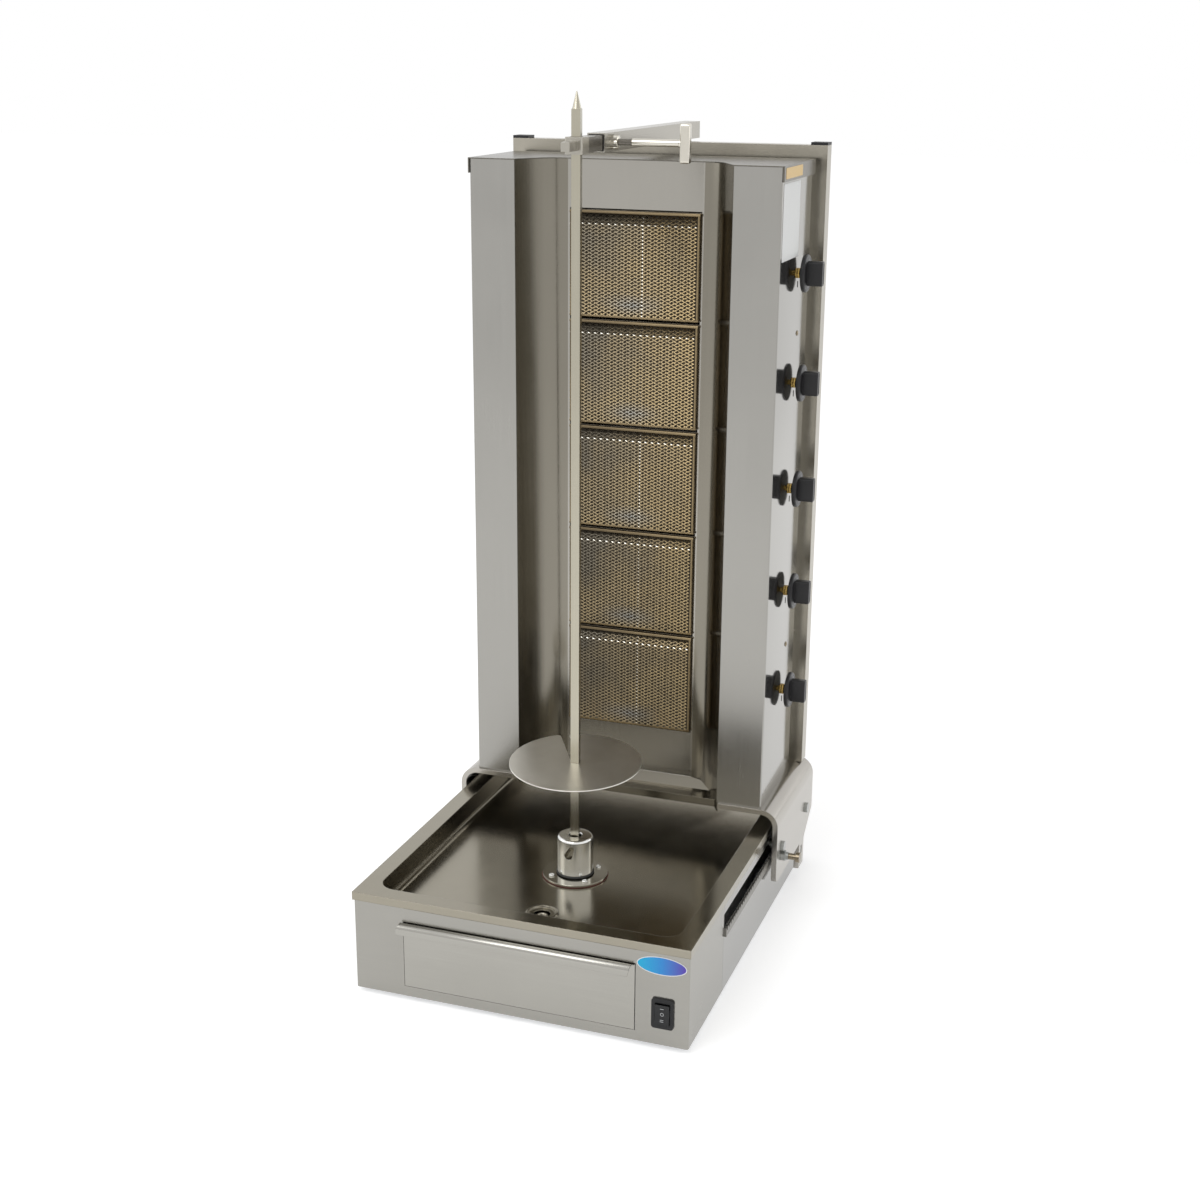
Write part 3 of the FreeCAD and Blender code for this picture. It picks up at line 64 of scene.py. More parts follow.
# Studio: a white floor that keeps the grill's soft shadow, white all round it, and three
# soft boxes: one overhead in front, one far to the left and one behind on the right.
class Wire:
    """One output of a shader node. Sums on it add Math nodes to the same tree."""

    def __init__(self, tree, socket=None):
        self.tree = tree
        self.socket = socket

    def node(self, kind, settings=None, inputs=None, output=0):
        """Add a node: its settings first, then the values or links of its sockets."""
        item = self.tree.nodes.new(kind)
        settings = dict(settings or {})
        stops = settings.pop("stops", None)
        for name, value in settings.items():
            setattr(item, name, value)
        if stops:
            ramp = item.color_ramp
            for element, (place, colour) in zip(ramp.elements, (stops[0], stops[-1])):
                element.position = place
                element.color = (*colour, 1.0)
            for place, colour in stops[1:-1]:
                ramp.elements.new(place).color = (*colour, 1.0)
        for name, value in (inputs or {}).items():
            if isinstance(value, Wire):
                self.tree.links.new(value.socket, item.inputs[name])
            else:
                item.inputs[name].default_value = value
        return Wire(self.tree, item.outputs[output])

    def beside(self, name):
        """Another output of the node that this wire leaves."""
        return Wire(self.tree, self.socket.node.outputs[name])

    def math(self, operation, *values):
        return self.node("ShaderNodeMath", {"operation": operation}, dict(enumerate(values)))

    def mix(self, first, second):
        """The first colour where this wire is 0 and the second where it is 1."""
        colours = {6: first, 7: second, 0: self}
        return self.node("ShaderNodeMix", {"data_type": "RGBA"}, colours, output=2)

    def into(self, shader, name):
        self.tree.links.new(self.socket, shader.inputs[name])

    def __add__(self, other):
        return self.math("ADD", self, other)

    def __sub__(self, other):
        return self.math("SUBTRACT", self, other)

    def __rsub__(self, other):
        return self.math("SUBTRACT", other, self)

    def __mul__(self, other):
        return self.math("MULTIPLY", self, other)

    __radd__ = __add__
    __rmul__ = __mul__


def seen_directly(wire):
    """1 for a ray from the eye, or one that metal or glass sends on, and 0 for the rest."""
    path = wire.node("ShaderNodeLightPath", output="Is Camera Ray")
    rays = path + path.beside("Is Glossy Ray") + path.beside("Is Transmission Ray")
    return rays.math("MINIMUM", rays, 1.0)


def new_material(name):
    """An empty material: the material, its shader, and a wire to start its nodes from."""
    material = bpy.data.materials.new(name)
    material.use_nodes = True
    return material, material.node_tree.nodes["Principled BSDF"], Wire(material.node_tree)


floor_width = 40.0
floor_grey = 0.82
floor_lift = 0.42
bpy.ops.object.select_all(action="DESELECT")
bpy.ops.mesh.primitive_plane_add(size=floor_width, location=(0, 0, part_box("rubber_feet")[0].z))
floor = bpy.context.active_object
floor.name = "floor"
floor_paint, shader, wire = new_material("white_floor")
shader.inputs["Base Color"].default_value = (floor_grey, floor_grey, floor_grey, 1)
shader.inputs["Roughness"].default_value = 0.9
shader.inputs["Specular IOR Level"].default_value = 0.0
seen_directly(wire).mix((0, 0, 0, 1), (1, 1, 1, 1)).into(shader, "Emission Color")
shader.inputs["Emission Strength"].default_value = floor_lift
floor.data.materials.append(floor_paint)

world_fill = 0.74
world = bpy.data.worlds.new("studio")
world.use_nodes = True
bpy.context.scene.world = world
background = world.node_tree.nodes["Background"]
background.inputs["Color"].default_value = (1, 1, 1, 1)
(seen_directly(Wire(world.node_tree)) * (1 - world_fill) + world_fill).into(background, "Strength")

# Each soft box: its name, place, width in metres and power in watts
soft_boxes = [
    ("box_overhead", (-0.7, -2.05, 2.9), 1.8, 32.0),
    ("box_left", (-3.4, -1.2, 1.9), 2.0, 14.0),
    ("box_rear", (2.6, 2.6, 1.5), 1.6, 12.0),
]
lit_point = Vector((0, 0, 0.55))
for name, place, width, power in soft_boxes:
    aim = (lit_point - Vector(place)).to_track_quat("-Z", "Y")
    bpy.ops.object.light_add(type="AREA", location=place, rotation=aim.to_euler())
    lamp = bpy.context.active_object
    lamp.name = name
    lamp.data.size = width
    lamp.data.energy = power


# Base box: a front cover wrapped round the corners, two side panels and a rear panel, all of
# 1.5 mm satin stainless sheet, on a galvanised floor that stands on four rubber feet.
MM = 0.001


def dress(names, material):
    """Give CAD nodes their finish, with smooth shading that stops at real edges."""
    for name in names:
        node = nodes[name]
        node.data.materials.clear()
        node.data.materials.append(material)
        for polygon in node.data.polygons:
            polygon.use_smooth = True
        weld = node.modifiers.new("weld", "WELD")
        weld.merge_threshold = 0.01 * MM
        split = node.modifiers.new("split", "EDGE_SPLIT")
        split.split_angle = math.radians(32)


def noise(wire, scale, detail):
    """Soft spots over a piece, fixed to its own coordinates."""
    place = wire.node("ShaderNodeTexCoord", output="Object")
    return wire.node("ShaderNodeTexNoise", inputs={"Vector": place, "Scale": scale, "Detail": detail})


def steel(name, colour, roughness, grain, wear=0.05, edge=0.6 * MM):
    """Stainless sheet with a fine grain; grain is how far each axis squeezes the streaks."""
    material, shader, wire = new_material(name)
    shader.inputs["Metallic"].default_value = 1.0
    place = wire.node("ShaderNodeTexCoord", output="Object")
    stretched = wire.node("ShaderNodeMapping", inputs={"Vector": place, "Scale": grain})
    streak = wire.node("ShaderNodeTexNoise", inputs={
        "Vector": stretched, "Scale": 1.0, "Detail": 3.0, "Roughness": 0.6})
    cloud = noise(wire, 9.0, 4.0)
    spread = wear * 2.2
    dark = tuple(c * (1 - spread) for c in colour) + (1,)
    light = tuple(min(c * (1 + spread), 1) for c in colour) + (1,)
    (streak * 0.5 + cloud * 0.5).mix(dark, light).into(shader, "Base Color")
    (streak * 0.08 + cloud * 0.10 + (roughness - 0.09)).into(shader, "Roughness")
    round_edge = wire.node("ShaderNodeBevel", {"samples": 3}, {"Radius": edge})
    bump = wire.node("ShaderNodeBump", inputs={
        "Strength": 0.10, "Distance": 0.12 * MM, "Height": streak, "Normal": round_edge})
    bump.into(shader, "Normal")
    return material


along_x = (7.0, 500.0, 500.0)
along_y = (500.0, 7.0, 500.0)
along_z = (500.0, 500.0, 5.0)
cover_steel = steel("cover_steel", (0.335, 0.326, 0.300), 0.25, along_x)
dress(["front_cover", "rear_panel"], cover_steel)
side_steel = steel("side_steel", (0.31, 0.305, 0.29), 0.14, along_y)
dress(["side_panel_left", "side_panel_right"], side_steel)

galvanised, shader, wire = new_material("galvanised_sheet")
shader.inputs["Metallic"].default_value = 1.0
place = wire.node("ShaderNodeTexCoord", output="Object")
flakes = wire.node("ShaderNodeTexVoronoi", inputs={"Vector": place, "Scale": 90.0}, output="Color")
tone = wire.node("ShaderNodeSeparateColor", inputs={"Color": flakes})
tone.mix((0.42, 0.43, 0.45, 1), (0.55, 0.56, 0.57, 1)).into(shader, "Base Color")
(tone * 0.2 + 0.35).into(shader, "Roughness")
dress(["base_floor", "drawer_runners"], galvanised)


def mottled(name, dark, light, scale, detail, roughness, spread, metallic=0.0, pits=None, edge=None):
    """A finish in soft spots of two colours; pits are a bump's strength and depth."""
    material, shader, wire = new_material(name)
    shader.inputs["Metallic"].default_value = metallic
    spots = noise(wire, scale, detail)
    spots.mix((*dark, 1), (*light, 1)).into(shader, "Base Color")
    (spots * spread + roughness).into(shader, "Roughness")
    if pits:
        bump = wire.node("ShaderNodeBump", inputs={
            "Strength": pits[0], "Distance": pits[1], "Height": spots})
        bump.into(shader, "Normal")
    if edge:
        wire.node("ShaderNodeBevel", {"samples": 3}, {"Radius": edge}).into(shader, "Normal")
    return material


rubber = mottled("black_rubber", (0.012, 0.012, 0.012), (0.045, 0.043, 0.04), 260.0, 5.0,
                 0.6, 0.2, pits=(0.3, 0.2 * MM))
dress(["rubber_feet"], rubber)


# Toothed strips under the side slots: 3 mm plate with a notch every 10 mm, fixed flat on the
# side panels, for the index plunger to drop into.
rack_steel = steel("rack_steel", (0.24, 0.23, 0.21), 0.36, along_y, wear=0.08)
dress(["index_racks"], rack_steel)


# Rocker switch: a black moulded bezel that snaps into the front cover, with a glossy rocker
# that is marked with a bar, a ring and two bars in light grey.
def plastic(name, colour, roughness, grain_depth=0.06 * MM):
    """Moulded plastic with a fine spark-eroded grain."""
    material, shader, wire = new_material(name)
    grain = noise(wire, 1400.0, 2.0)
    smear = noise(wire, 60.0, 4.0)
    pale = tuple(c * (1.6 - 0.55 * min(c * 2, 1)) + 0.002 for c in colour) + (1,)
    shader.inputs["Specular IOR Level"].default_value = 0.35
    smear.mix((*colour, 1), pale).into(shader, "Base Color")
    (smear * 0.16 + (roughness - 0.08)).into(shader, "Roughness")
    round_edge = wire.node("ShaderNodeBevel", {"samples": 3}, {"Radius": 0.6 * MM})
    bump = wire.node("ShaderNodeBump", inputs={
        "Strength": 0.35, "Distance": grain_depth, "Height": grain, "Normal": round_edge})
    bump.into(shader, "Normal")
    return material


moulded_black = plastic("moulded_black", (0.008, 0.008, 0.009), 0.46)
gloss_black = plastic("gloss_black", (0.009, 0.009, 0.010), 0.30, grain_depth=0.01 * MM)
dress(["switch_housing", "cable_gland", "end_caps"], moulded_black)
dress(["rocker"], gloss_black)


def start(name, primitive, scale=(1, 1, 1), **values):
    """Add a primitive as the one selected object, in edit mode, and name it."""
    if bpy.context.mode != "OBJECT":
        bpy.ops.object.mode_set(mode="OBJECT")
    bpy.ops.object.select_all(action="DESELECT")
    getattr(bpy.ops.mesh, f"primitive_{primitive}_add")(**values)
    piece = bpy.context.active_object
    piece.name = name
    piece.scale = scale
    bpy.ops.object.transform_apply(location=True, rotation=True, scale=True)
    bpy.ops.object.mode_set(mode="EDIT")
    return piece


def pick(kind, test):
    """Select, in edit mode, only the vertices, edges or faces that pass a test."""
    bpy.ops.mesh.select_mode(type=kind)
    bpy.ops.mesh.select_all(action="DESELECT")
    mesh = bmesh.from_edit_mesh(bpy.context.edit_object.data)
    for item in {"VERT": mesh.verts, "EDGE": mesh.edges, "FACE": mesh.faces}[kind]:
        item.select_set(bool(test(item)))
    bmesh.update_edit_mesh(bpy.context.edit_object.data)


def middle(item):
    """The middle of an edge or a face."""
    total = sum((vertex.co for vertex in item.verts), Vector())
    return total / len(item.verts)


def finish(piece, material, body, smooth=35, thick=None, bevel=None, segments=2):
    """Leave edit mode, give the wall and the broken edges, and put the piece on its body."""
    bpy.ops.object.mode_set(mode="OBJECT")
    bpy.context.view_layer.objects.active = piece
    if thick:
        wall = piece.modifiers.new("wall", "SOLIDIFY")
        wall.thickness = abs(thick)
        wall.offset = -1 if thick > 0 else 1
        bpy.ops.object.modifier_apply(modifier="wall")
    if bevel:
        edge = piece.modifiers.new("edge", "BEVEL")
        edge.width = bevel
        edge.segments = segments
        edge.limit_method = "ANGLE"
        edge.angle_limit = math.radians(32)
        bpy.ops.object.modifier_apply(modifier="edge")
    bpy.ops.object.select_all(action="DESELECT")
    piece.select_set(True)
    bpy.ops.object.shade_smooth_by_angle(angle=math.radians(smooth))
    if material is not None:
        piece.data.materials.clear()
        piece.data.materials.append(material)
    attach(piece, body)


mark_paint = plastic("mark_paint", (0.42, 0.43, 0.44), 0.5)
mark_gauge = 0.25 * MM
mark_lift = 0.15 * MM
rocker_low, rocker_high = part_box("rocker")
rocker_x = (rocker_low.x + rocker_high.x) / 2
rocker_z = (rocker_low.z + rocker_high.z) / 2
dish_depth, dish_slope = 1.6 * MM, 2.2 / 14.5


def mark_place(rise):
    """A place on the dished face of the rocker, by its height above the middle."""
    face_y = rocker_low.y + dish_depth - abs(rise) * dish_slope
    return rocker_x, face_y - mark_lift, rocker_z + rise


for name, rise in (("mark_bar", 9.0), ("mark_pair_upper", -7.6), ("mark_pair_lower", -9.8)):
    mark = start(name, "plane", size=1.0, location=mark_place(rise * MM),
                 rotation=(math.radians(90), 0, 0), scale=(5.0 * MM, 1.0 * MM, 1.0))
    bpy.ops.mesh.bevel(offset=0.3 * MM, segments=3, affect="VERTICES")
    finish(mark, mark_paint, "rocker", thick=mark_gauge)
mark = start("mark_ring", "circle", vertices=40, radius=2.6 * MM, fill_type="NGON",
             location=mark_place(0.2 * MM), rotation=(math.radians(90), 0, 0))
bpy.ops.mesh.inset(thickness=0.9 * MM)
bpy.ops.mesh.delete(type="FACE")
finish(mark, mark_paint, "rocker", thick=mark_gauge)


# Grease drawer: a folded pan on two runners, with a front whose top edge is bent forward and
# down into a full-width grip, its ends cut at a slant.
def pull_edge(edge, new_edge):
    """Fold the selected edge on to a new one; an edge is its left x, right x, y and z."""
    left, right, y, z = edge
    new_left, new_right, new_y, new_z = new_edge
    bpy.ops.mesh.extrude_region_move(
        TRANSFORM_OT_translate={"value": (new_left - left, new_y - y, new_z - z)})
    stretch = (new_right - new_left) / (right - left)
    bpy.ops.transform.resize(value=(stretch, 1, 1), center_override=(new_left, new_y, new_z))
    return new_edge


drawer_low, drawer_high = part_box("drawer_front")
face_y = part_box("front_cover")[0].y
front_gauge = 1.5 * MM
gap_taken_up = 0.6 * MM
left_end, right_end = drawer_low.x - gap_taken_up, drawer_high.x
front_foot_z = drawer_low.z - gap_taken_up
fold_z = drawer_high.z + gap_taken_up - front_gauge
lip_back_y = drawer_low.y + front_gauge
lip_bend = 7.0 * MM
lip_drop = 15.0 * MM
bend_steps = 10
# How far right of the sheet's two ends the grip's ends are, from the fold to its lower edge
fold_ends = (1.5 * MM, -1.0 * MM)
ledge_ends = (-3.0 * MM, -3.5 * MM)
bend_ends = (-6.5 * MM, -5.5 * MM)
grip_foot_ends = (-6.5 * MM, -7.5 * MM)


def grip_edge(ends, y, z):
    """An edge across the grip, with its two ends shifted from the sheet's."""
    return left_end + ends[0], right_end + ends[1], y, z


drawer_front = start("drawer_front_sheet", "plane", size=1.0, rotation=(math.radians(90), 0, 0),
                     location=((left_end + right_end) / 2, face_y, (front_foot_z + fold_z) / 2),
                     scale=(right_end - left_end, fold_z - front_foot_z, 1.0))
pick("EDGE", lambda edge: middle(edge).z > fold_z - MM / 2)
edge = pull_edge((left_end, right_end, face_y, fold_z), grip_edge(fold_ends, face_y, fold_z))
edge = pull_edge(edge, grip_edge(ledge_ends, lip_back_y + lip_bend, fold_z))
for step in range(1, bend_steps + 1):
    share = step / bend_steps
    angle = math.radians(90 * share)
    ends = [before + (after - before) * share for before, after in zip(ledge_ends, bend_ends)]
    edge = pull_edge(edge, grip_edge(ends, lip_back_y + lip_bend * (1 - math.sin(angle)),
                                     fold_z - lip_bend * (1 - math.cos(angle))))
pull_edge(edge, grip_edge(grip_foot_ends, lip_back_y, fold_z + front_gauge - lip_drop))
drawer_steel = steel("drawer_steel", (0.375, 0.365, 0.335), 0.22, along_x)
finish(drawer_front, drawer_steel, "drawer", thick=front_gauge, bevel=0.25 * MM)
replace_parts(drawer_front, "drawer_front")
dress(["drawer_pan"], drawer_steel)


# Oval plate beside the drawer: a thin printed plate in a white rim, glued to the front cover,
# with a plain blend from light blue to indigo and nothing written on it.
oval_low, oval_high = Vector((0.1715, face_y, 0.104)), Vector((0.2415, face_y, 0.131))
oval_size = oval_high - oval_low
blue_blend, shader, wire = new_material("plate_blue")
place = wire.node("ShaderNodeTexCoord", output="Object")
across = wire.node("ShaderNodeSeparateXYZ", inputs={"Vector": place})
share = (across - oval_low.x) * (1 / oval_size.x)
blend = wire.node("ShaderNodeValToRGB", {"stops": [
    (0.05, (0.0, 0.42, 0.72)), (0.5, (0.02, 0.25, 0.66)), (0.95, (0.09, 0.05, 0.42))]},
    {"Fac": share})
blend.into(shader, "Base Color")
(share * 0.05 + 0.25).into(shader, "Roughness")
white_print = plastic("plate_white_print", (0.75, 0.76, 0.76), 0.3)
oval = start("oval_plate", "circle", vertices=64, radius=0.5, fill_type="NGON",
             location=(oval_low + oval_high) / 2 - Vector((0, 0.1 * MM, 0)),
             rotation=(math.radians(90), 0, 0), scale=(oval_size.x, oval_size.z, 1.0))
oval.data.materials.append(white_print)
oval.data.materials.append(blue_blend)
bpy.ops.mesh.inset(thickness=1.3 * MM)
bpy.context.object.active_material_index = 1
bpy.ops.object.material_slot_assign()
finish(oval, None, "base", thick=-0.2 * MM)


# Drip tray: one pressed stainless sheet with rounded corners, a rim folded down over the base
# and a raised ring round the drain; its inside is polished so that fat wipes off.
tray_steel = steel("tray_steel", (0.315, 0.292, 0.238), 0.19, (40, 40, 40), wear=0.04, edge=1.8 * MM)
dress(["drip_tray"], tray_steel)

cup_place = (0.0, -0.231, 0.1085)
cup_steps = ((2.4, -0.8), (3.2, 0.0), (1.2, 1.4), (1.6, 0.0), (1.2, -1.4))
cup = start("drain_cup", "cylinder", vertices=56, radius=15.0 * MM, depth=1.2 * MM, location=cup_place)
pick("FACE", lambda face: face.normal.z > 0.9)
for width, lift in cup_steps:
    bpy.ops.mesh.inset(thickness=width * MM, depth=lift * MM)
finish(cup, tray_steel, "base", bevel=0.3 * MM)


# Spit drive: a polished flange screwed down on a red gasket, a black seal, and a chromed
# coupling with a bayonet slot, turned by a geared motor under the tray.
flange_low, flange_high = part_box("bearing_flange")
coupling_low, coupling_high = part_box("spit_coupling")
spit_y = (flange_low.y + flange_high.y) / 2


def turned(name, profile, material, body, replaced):
    """A piece turned round the spit's axis from a closed profile of radius and height in mm."""
    radius, height = profile[0]
    piece = start(name, "circle", vertices=72, radius=radius * MM, location=(0, spit_y, height * MM))
    bpy.ops.mesh.select_mode(type="EDGE")
    bpy.ops.mesh.select_all(action="SELECT")
    for next_radius, next_height in profile[1:]:
        bpy.ops.mesh.extrude_region_move(
            TRANSFORM_OT_translate={"value": (0, 0, (next_height - height) * MM)})
        factor = next_radius / radius
        bpy.ops.transform.resize(value=(factor, factor, 1),
                                 center_override=(0, spit_y, next_height * MM))
        radius, height = next_radius, next_height
    bpy.ops.mesh.select_all(action="SELECT")
    bpy.ops.mesh.remove_doubles(threshold=0.001 * MM)
    bpy.ops.mesh.normals_make_consistent(inside=False)
    finish(piece, material, body)
    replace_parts(piece, replaced)
    return piece


polished = steel("polished_flange", (0.36, 0.34, 0.29), 0.14, (60, 60, 60), wear=0.03)
flange_gauge, hub_rise = 3.0, 3.0
foot, hub_top = flange_low.z / MM, flange_high.z / MM
top = hub_top - hub_rise
under = top - flange_gauge
reach, bore, barrel, hub = 47.8, 15, 24, 23
turned("flange_turned", [
    (bore, foot), (barrel, foot), (barrel, under), (reach - 0.4, under), (reach, under + 0.4),
    (reach, top - 0.4), (reach - 0.4, top), (hub, top), (hub - 0.4, hub_top - 0.4), (hub - 1, hub_top),
    (bore, hub_top), (bore, foot)], polished, "base", "bearing_flange")

gasket = plastic("gasket_rubber", (0.085, 0.028, 0.021), 0.55)
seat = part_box("flange_gasket")[0].z / MM
gasket_bore, gasket_reach = 25, 48.7
turned("gasket_ring", [
    (gasket_bore, seat), (gasket_reach - 0.2, seat), (gasket_reach, seat + 0.5), (gasket_reach - 0.2, under),
    (gasket_bore, under), (gasket_bore, seat)], gasket, "base", "flange_gasket")

chrome = steel("chrome_plate", (0.82, 0.82, 0.80), 0.22, (90, 90, 8), wear=0.04)
low, high = coupling_low.z / MM, coupling_high.z / MM
outside, round_top, bar_hole, shaft_hole = 26.2, 4.5, 9.5, 13
corner = [(outside - round_top + round_top * math.cos(math.radians(angle)),
           high - round_top + round_top * math.sin(math.radians(angle))) for angle in range(0, 91, 15)]
coupling = turned("coupling_turned", [
    (shaft_hole, low), (outside - 0.6, low), (outside, low + 0.6), *corner, (bar_hole + 1, high),
    (bar_hole, high - 1), (bar_hole, high - 40), (shaft_hole, high - 42), (shaft_hole, low)],
    chrome, "spit", "spit_coupling")

slot_turn, slot_lean = 3.0, -24.0
slot_z, slot_radius, slot_rise, slot_taper = 152.0 * MM, 6.2 * MM, 10.0 * MM, 0.62
cutter = start("slot_cutter", "cylinder", vertices=32, radius=slot_radius, depth=30 * MM,
               location=(0, spit_y - outside * MM, slot_z), rotation=(math.radians(90), 0, 0))
pick("VERT", lambda vertex: vertex.co.z > slot_z)
bpy.ops.transform.translate(value=(0, 0, slot_rise))
bpy.ops.transform.resize(value=(slot_taper, 1, 1), center_override=(0, 0, slot_z))
bpy.ops.mesh.select_all(action="SELECT")
bpy.ops.transform.rotate(value=math.radians(slot_lean), orient_axis="Y", center_override=(0, 0, slot_z))
bpy.ops.transform.rotate(value=math.radians(slot_turn), orient_axis="Z", center_override=(0, spit_y, 0))
bpy.ops.object.mode_set(mode="OBJECT")
cutter.data.materials.append(polished)
bpy.context.view_layer.objects.active = coupling
cut = coupling.modifiers.new("slot", "BOOLEAN")
cut.object = cutter
cut.operation = "DIFFERENCE"
cut.material_mode = "TRANSFER"
bpy.ops.object.modifier_apply(modifier="slot")
bpy.data.objects.remove(cutter)

cast = mottled("cast_aluminium", (0.20, 0.20, 0.20), (0.32, 0.32, 0.32), 420.0, 4.0,
               0.5, 0.2, metallic=0.7, pits=(0.5, 0.3 * MM))
dress(["gearmotor"], cast)

flange_top_z = top * MM
seal_radius = 2.0 * MM
seal = start("shaft_seal", "torus", location=(0, spit_y, flange_top_z + seal_radius), major_segments=72,
             minor_segments=12, major_radius=(outside - 0.4) * MM, minor_radius=seal_radius)
pick("FACE", lambda face: middle(face).z > flange_top_z + seal_radius * 1.5)
bpy.ops.transform.translate(value=(0, 0, -0.4 * MM))
finish(seal, rubber, "base")


def copied(first, name, move, body, replaced=None):
    """A copy of a finished piece with a mesh of its own, moved by a matrix."""
    piece = first.copy()
    piece.data = first.data.copy()
    piece.name = name
    piece.data.transform(move)
    bpy.context.scene.collection.objects.link(piece)
    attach(piece, body)
    if replaced:
        del piece["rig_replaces"]
        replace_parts(piece, replaced)


screw_angle, screw_reach = math.radians(42.0), 37.0 * MM
screw_radius, screw_height = 4.2 * MM, 2.6 * MM
screw = start("flange_screw_1", "cylinder", vertices=32, radius=screw_radius, depth=screw_height,
              location=(screw_reach * math.cos(screw_angle), spit_y + screw_reach * math.sin(screw_angle),
                        flange_top_z + screw_height / 2))
pick("FACE", lambda face: face.normal.z > 0.9)
bpy.ops.mesh.bevel(offset=1.2 * MM, segments=4, affect="EDGES")
pick("FACE", lambda face: face.normal.z > 0.9)
bpy.ops.mesh.inset(thickness=1.2 * MM)
bpy.ops.mesh.extrude_region_move(TRANSFORM_OT_translate={"value": (0, 0, -1.1 * MM)})
finish(screw, chrome, "base")
to_axis = Matrix.Translation((0, spit_y, 0))
for number in (2, 3, 4):
    quarter = Matrix.Rotation(math.radians(90 * (number - 1)), 4, "Z")
    copied(screw, f"flange_screw_{number}", to_axis @ quarter @ to_axis.inverted(), "base")


# Spit: a square drawn bar with a turned point, a cross pin that locks it in the coupling and
# one that carries the loose meat disc.
spit_steel = steel("spit_steel", (0.42, 0.395, 0.32), 0.22, along_z, wear=0.07)
dress(["spit_bar", "spit_pins", "drive_shaft"], spit_steel)
disc_steel = steel("disc_steel", (0.80, 0.78, 0.73), 0.36, (50, 50, 50))
dress(["meat_disc"], disc_steel)


# Carriage: one 8 mm stainless plate bent down over both sides of the base. It runs on zinc-plated
# rollers, carries the burner tower and the rear frame, and is held by a sprung plunger.
plate_steel = steel("plate_steel", (0.43, 0.41, 0.375), 0.24, along_y, edge=0.9 * MM)
dress(["carriage_plate"], plate_steel)
zinc = mottled("zinc_plate", (0.26, 0.27, 0.27), (0.52, 0.53, 0.50), 180.0, 5.0,
               0.2, 0.25, metallic=1.0, edge=0.5 * MM)
dress(["slide_rollers", "plunger_housing", "gas_manifold"], zinc)
bronze = steel("bronzed_steel", (0.25, 0.21, 0.15), 0.26, (200, 200, 200), wear=0.08)
dress(["index_plunger"], bronze)


# Burner tower: two folded side casings, a reflector round the burners, a top and a rear cover,
# all of satin stainless sheet standing on the carriage plate.
def now_feeding(material, socket):
    """A material's shader, and the wire that feeds one of its sockets so far."""
    shader = material.node_tree.nodes["Principled BSDF"]
    return shader, Wire(material.node_tree, shader.inputs[socket].links[0].from_socket)


wing_steel = steel("wing_steel", (0.335, 0.327, 0.305), 0.25, along_z)
side_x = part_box("wing_right")[1].x
shader, satin = now_feeding(wing_steel, "Roughness")
place = satin.node("ShaderNodeTexCoord", output="Object")
across = satin.node("ShaderNodeSeparateXYZ", inputs={"Vector": place})
outer_face = satin.math("GREATER_THAN", satin.math("ABSOLUTE", across), side_x - 0.8 * MM)
(satin - outer_face * 0.15).into(shader, "Roughness")
dress(["wing_left", "wing_right", "rear_cover"], wing_steel)

reflector_steel = steel("reflector_steel", (0.36, 0.345, 0.312), 0.17, along_z)
# The reflector's colour is darker in front of the screens than behind them.
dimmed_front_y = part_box("mesh_screen_1")[1].y - 2.0 * MM
shader, undimmed = now_feeding(reflector_steel, "Base Color")
place = undimmed.node("ShaderNodeTexCoord", output="Object")
depth = undimmed.node("ShaderNodeSeparateXYZ", inputs={"Vector": place}, output="Y")
dimmed = undimmed.node("ShaderNodeMix", {"data_type": "RGBA", "blend_type": "MULTIPLY"}, {
    0: undimmed.math("LESS_THAN", depth, dimmed_front_y), 6: undimmed, 7: (0.62, 0.60, 0.55, 1)}, output=2)
dimmed.into(shader, "Base Color")
dress(["reflector"], reflector_steel)
# The top cover's steel is painted much darker than the wings': painted shade standing in for the dark
# reflections on the top cover.
cap_steel = steel("cap_steel", (0.16, 0.15, 0.13), 0.24, along_x)
dress(["top_cover"], cap_steel)

rivet_place = Vector((side_x, 201 * MM, 878 * MM))
lower_rivet = Vector((side_x, 206 * MM, 400 * MM))
rivet = start("side_rivet_1", "uv_sphere", segments=24, ring_count=12, radius=4.0 * MM,
              location=rivet_place)
bpy.ops.mesh.bisect(plane_co=rivet_place, plane_no=(1, 0, 0), clear_inner=True, use_fill=True)
bpy.ops.mesh.select_all(action="SELECT")
bpy.ops.transform.resize(value=(0.5, 1, 1), center_override=rivet_place)
finish(rivet, bronze, "carriage")
copied(rivet, "side_rivet_2", Matrix.Translation(lower_rivet - rivet_place), "carriage")

white_card = plastic("label_white", (0.72, 0.73, 0.72), 0.4)
yellow_card = plastic("label_yellow", (0.72, 0.50, 0.17), 0.4)
cap_side_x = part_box("top_cover")[1].x
# Each blank plate: its name, the sheet it is glued to, its y, z, length and height in mm
for name, sheet_x, y, z, length, height, card in (
        ("plate_white", side_x, 140, 1043, 96, 106, white_card),
        ("plate_yellow", cap_side_x, 139, 1110, 96, 15, yellow_card)):
    plate = start(name, "plane", size=1.0, location=(sheet_x + 0.1 * MM, y * MM, z * MM),
                  rotation=(0, math.radians(90), 0), scale=(height * MM, length * MM, 1.0))
    bpy.ops.mesh.bevel(offset=2.0 * MM, segments=4, affect="VERTICES")
    bpy.ops.mesh.select_all(action="SELECT")
    bpy.ops.mesh.inset(thickness=1.2 * MM, depth=-0.05 * MM)
    finish(plate, card, "carriage", thick=-0.15 * MM)


